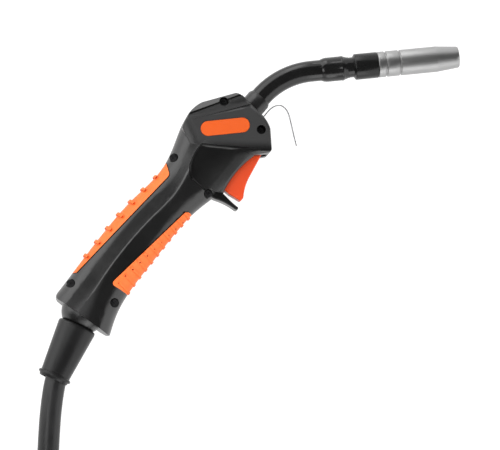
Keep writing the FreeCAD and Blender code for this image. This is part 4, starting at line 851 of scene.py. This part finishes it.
# %% [markdown]
# ## The free cable's sheath
# The real cable is one piece from the boot to the connector. The construction model has it in
# two, a lead and a coil, and the one smooth curve takes the place of both.

# %% Dress the free cable
free_cable.data.materials.append(MATERIALS["cable_rubber"])
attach(free_cable, "cable_side")
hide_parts("cable_lead", "cable_coil")
print("free cable finished as", free_cable.data.materials[0].name)

# %% [markdown]
# ## The coil's ties
# Two woven straps hold the coil together. Each is a closed line with round corners that goes
# round the bundle of turns, widened to the strap's width and given a thin wall.

# %% Tie the coil
TIE_SLACK = 1.7
TIE_GAP = 0.2
TIE_HALF_WIDTH = 10.0
TIE_WALL = 0.001
CORNER_STEPS = 8


def tie_band(name, angle, outer_turns, inner_turns):
    """A woven strap round the bundle of turns, with round corners and a small wall."""
    inner = COIL_OUTER - COIL_PITCH * inner_turns - CABLE_RADIUS - TIE_SLACK
    outer = COIL_OUTER - COIL_PITCH * outer_turns + CABLE_RADIUS + TIE_SLACK
    low, high = -CABLE_RADIUS - TIE_GAP, COIL_RISE + CABLE_RADIUS + TIE_GAP
    corner = CABLE_RADIUS
    centre_line = []
    for x, z, first in ((outer - corner, high - corner, 0), (inner + corner, high - corner, 90),
                        (inner + corner, low + corner, 180), (outer - corner, low + corner, 270)):
        for step in range(CORNER_STEPS + 1):
            turn = math.radians(first + 90 * step / CORNER_STEPS)
            centre_line.append((x + corner * math.cos(turn), z + corner * math.sin(turn)))
    deselect_all()
    mesh = bpy.data.meshes.new(name)
    turn = Matrix.Rotation(math.radians(angle), 3, "Z")
    places = []
    for side in (-TIE_HALF_WIDTH, TIE_HALF_WIDTH):
        for x, z in centre_line:
            places.append(COIL_CENTRE + turn @ Vector((x * MM, side * MM, z * MM)))
    count = len(centre_line)
    faces = [(n, (n + 1) % count, count + (n + 1) % count, count + n) for n in range(count)]
    mesh.from_pydata(places, [], faces)
    piece = bpy.data.objects.new(name, mesh)
    bpy.context.scene.collection.objects.link(piece)
    select_only(piece)
    bpy.ops.object.mode_set(mode="EDIT")
    bpy.ops.mesh.select_all(action="SELECT")
    bpy.ops.mesh.normals_make_consistent(inside=False)
    bpy.ops.object.mode_set(mode="OBJECT")
    wall = piece.modifiers.new("wall", "SOLIDIFY")
    wall.thickness = TIE_WALL
    wall.offset = 1.0
    bpy.ops.object.modifier_apply(modifier="wall")
    bpy.ops.object.shade_smooth_by_angle(angle=ROUND_ANGLE)
    piece.data.materials.append(MATERIALS["tie_fabric"])
    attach(piece, "cable_side")
    return piece


ties = [tie_band("tie_one", 60, 0.583, 2.583), tie_band("tie_two", 130, 0.389, 2.389)]
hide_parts("coil_ties")
print("ties", [tie.name for tie in ties])

# %% [markdown]
# ## The inner cable
# Inside the handle the cable is thinner. Its front end stays with the handle's crimp, and its
# rear end swivels with the boot. A cable that rode on one of them alone would come out of the
# handle. Here its curve is only made a mesh, and nothing yet bends it between the two.

# %% Make the inner cable a mesh
INNER_CABLE_RADIUS = 6.4
INNER_ROUTE = [
    on_handle(164.0, 4.2), on_handle(130.0, 4.2), on_handle(92.0, 6.4), on_handle(56.0, 6.8),
    on_handle(26.0, 3.8), on_boot(-2.0), on_boot(CABLE_START),
]
inner_cable = cable_curve("inner_cable_dressed", INNER_ROUTE, INNER_CABLE_RADIUS)
inner_cable.data.materials.append(MATERIALS["cable_rubber"])
select_only(inner_cable)
bpy.ops.object.convert(target="MESH")
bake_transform(inner_cable)
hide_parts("inner_cable")
print("inner cable", len(inner_cable.data.polygons), "faces")

# %% [markdown]
# ## The cord as a whole
# The free cable is one cord together with the ties and with everything at its far end, and
# whoever lays the cable another way moves them with it. Here only the cable's length is printed.

print("cord declared,", round(cable_length, 3), "m by its own line")

# %% [markdown]
# ## The hanger hook
# The hook is one thin spring wire, bent by hand. Its line was read point by point from the
# photograph, and a NURBS curve follows the points without corners.

# %% The hook's wire
HOOK_WIRE_RADIUS = 0.55
HOOK_LINE = [
    (194.0, -6.4), (198.5, -7.0), (203.3, -7.4), (207.0, -7.3), (210.4, -7.3), (214.6, -8.2),
    (217.6, -10.4), (219.1, -12.6), (219.2, -16.4), (217.5, -20.5), (214.4, -25.0),
    (209.3, -31.7), (205.5, -36.8), (202.6, -41.0),
]
hook = cable_curve("hook_wire", [on_handle(*place) for place in HOOK_LINE], HOOK_WIRE_RADIUS)
hook.data.materials.append(MATERIALS["pin_steel"])
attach(hook, "handle")
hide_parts("hanger_hook")
print("hook wire", round(length_of(hook), 4), "m long")
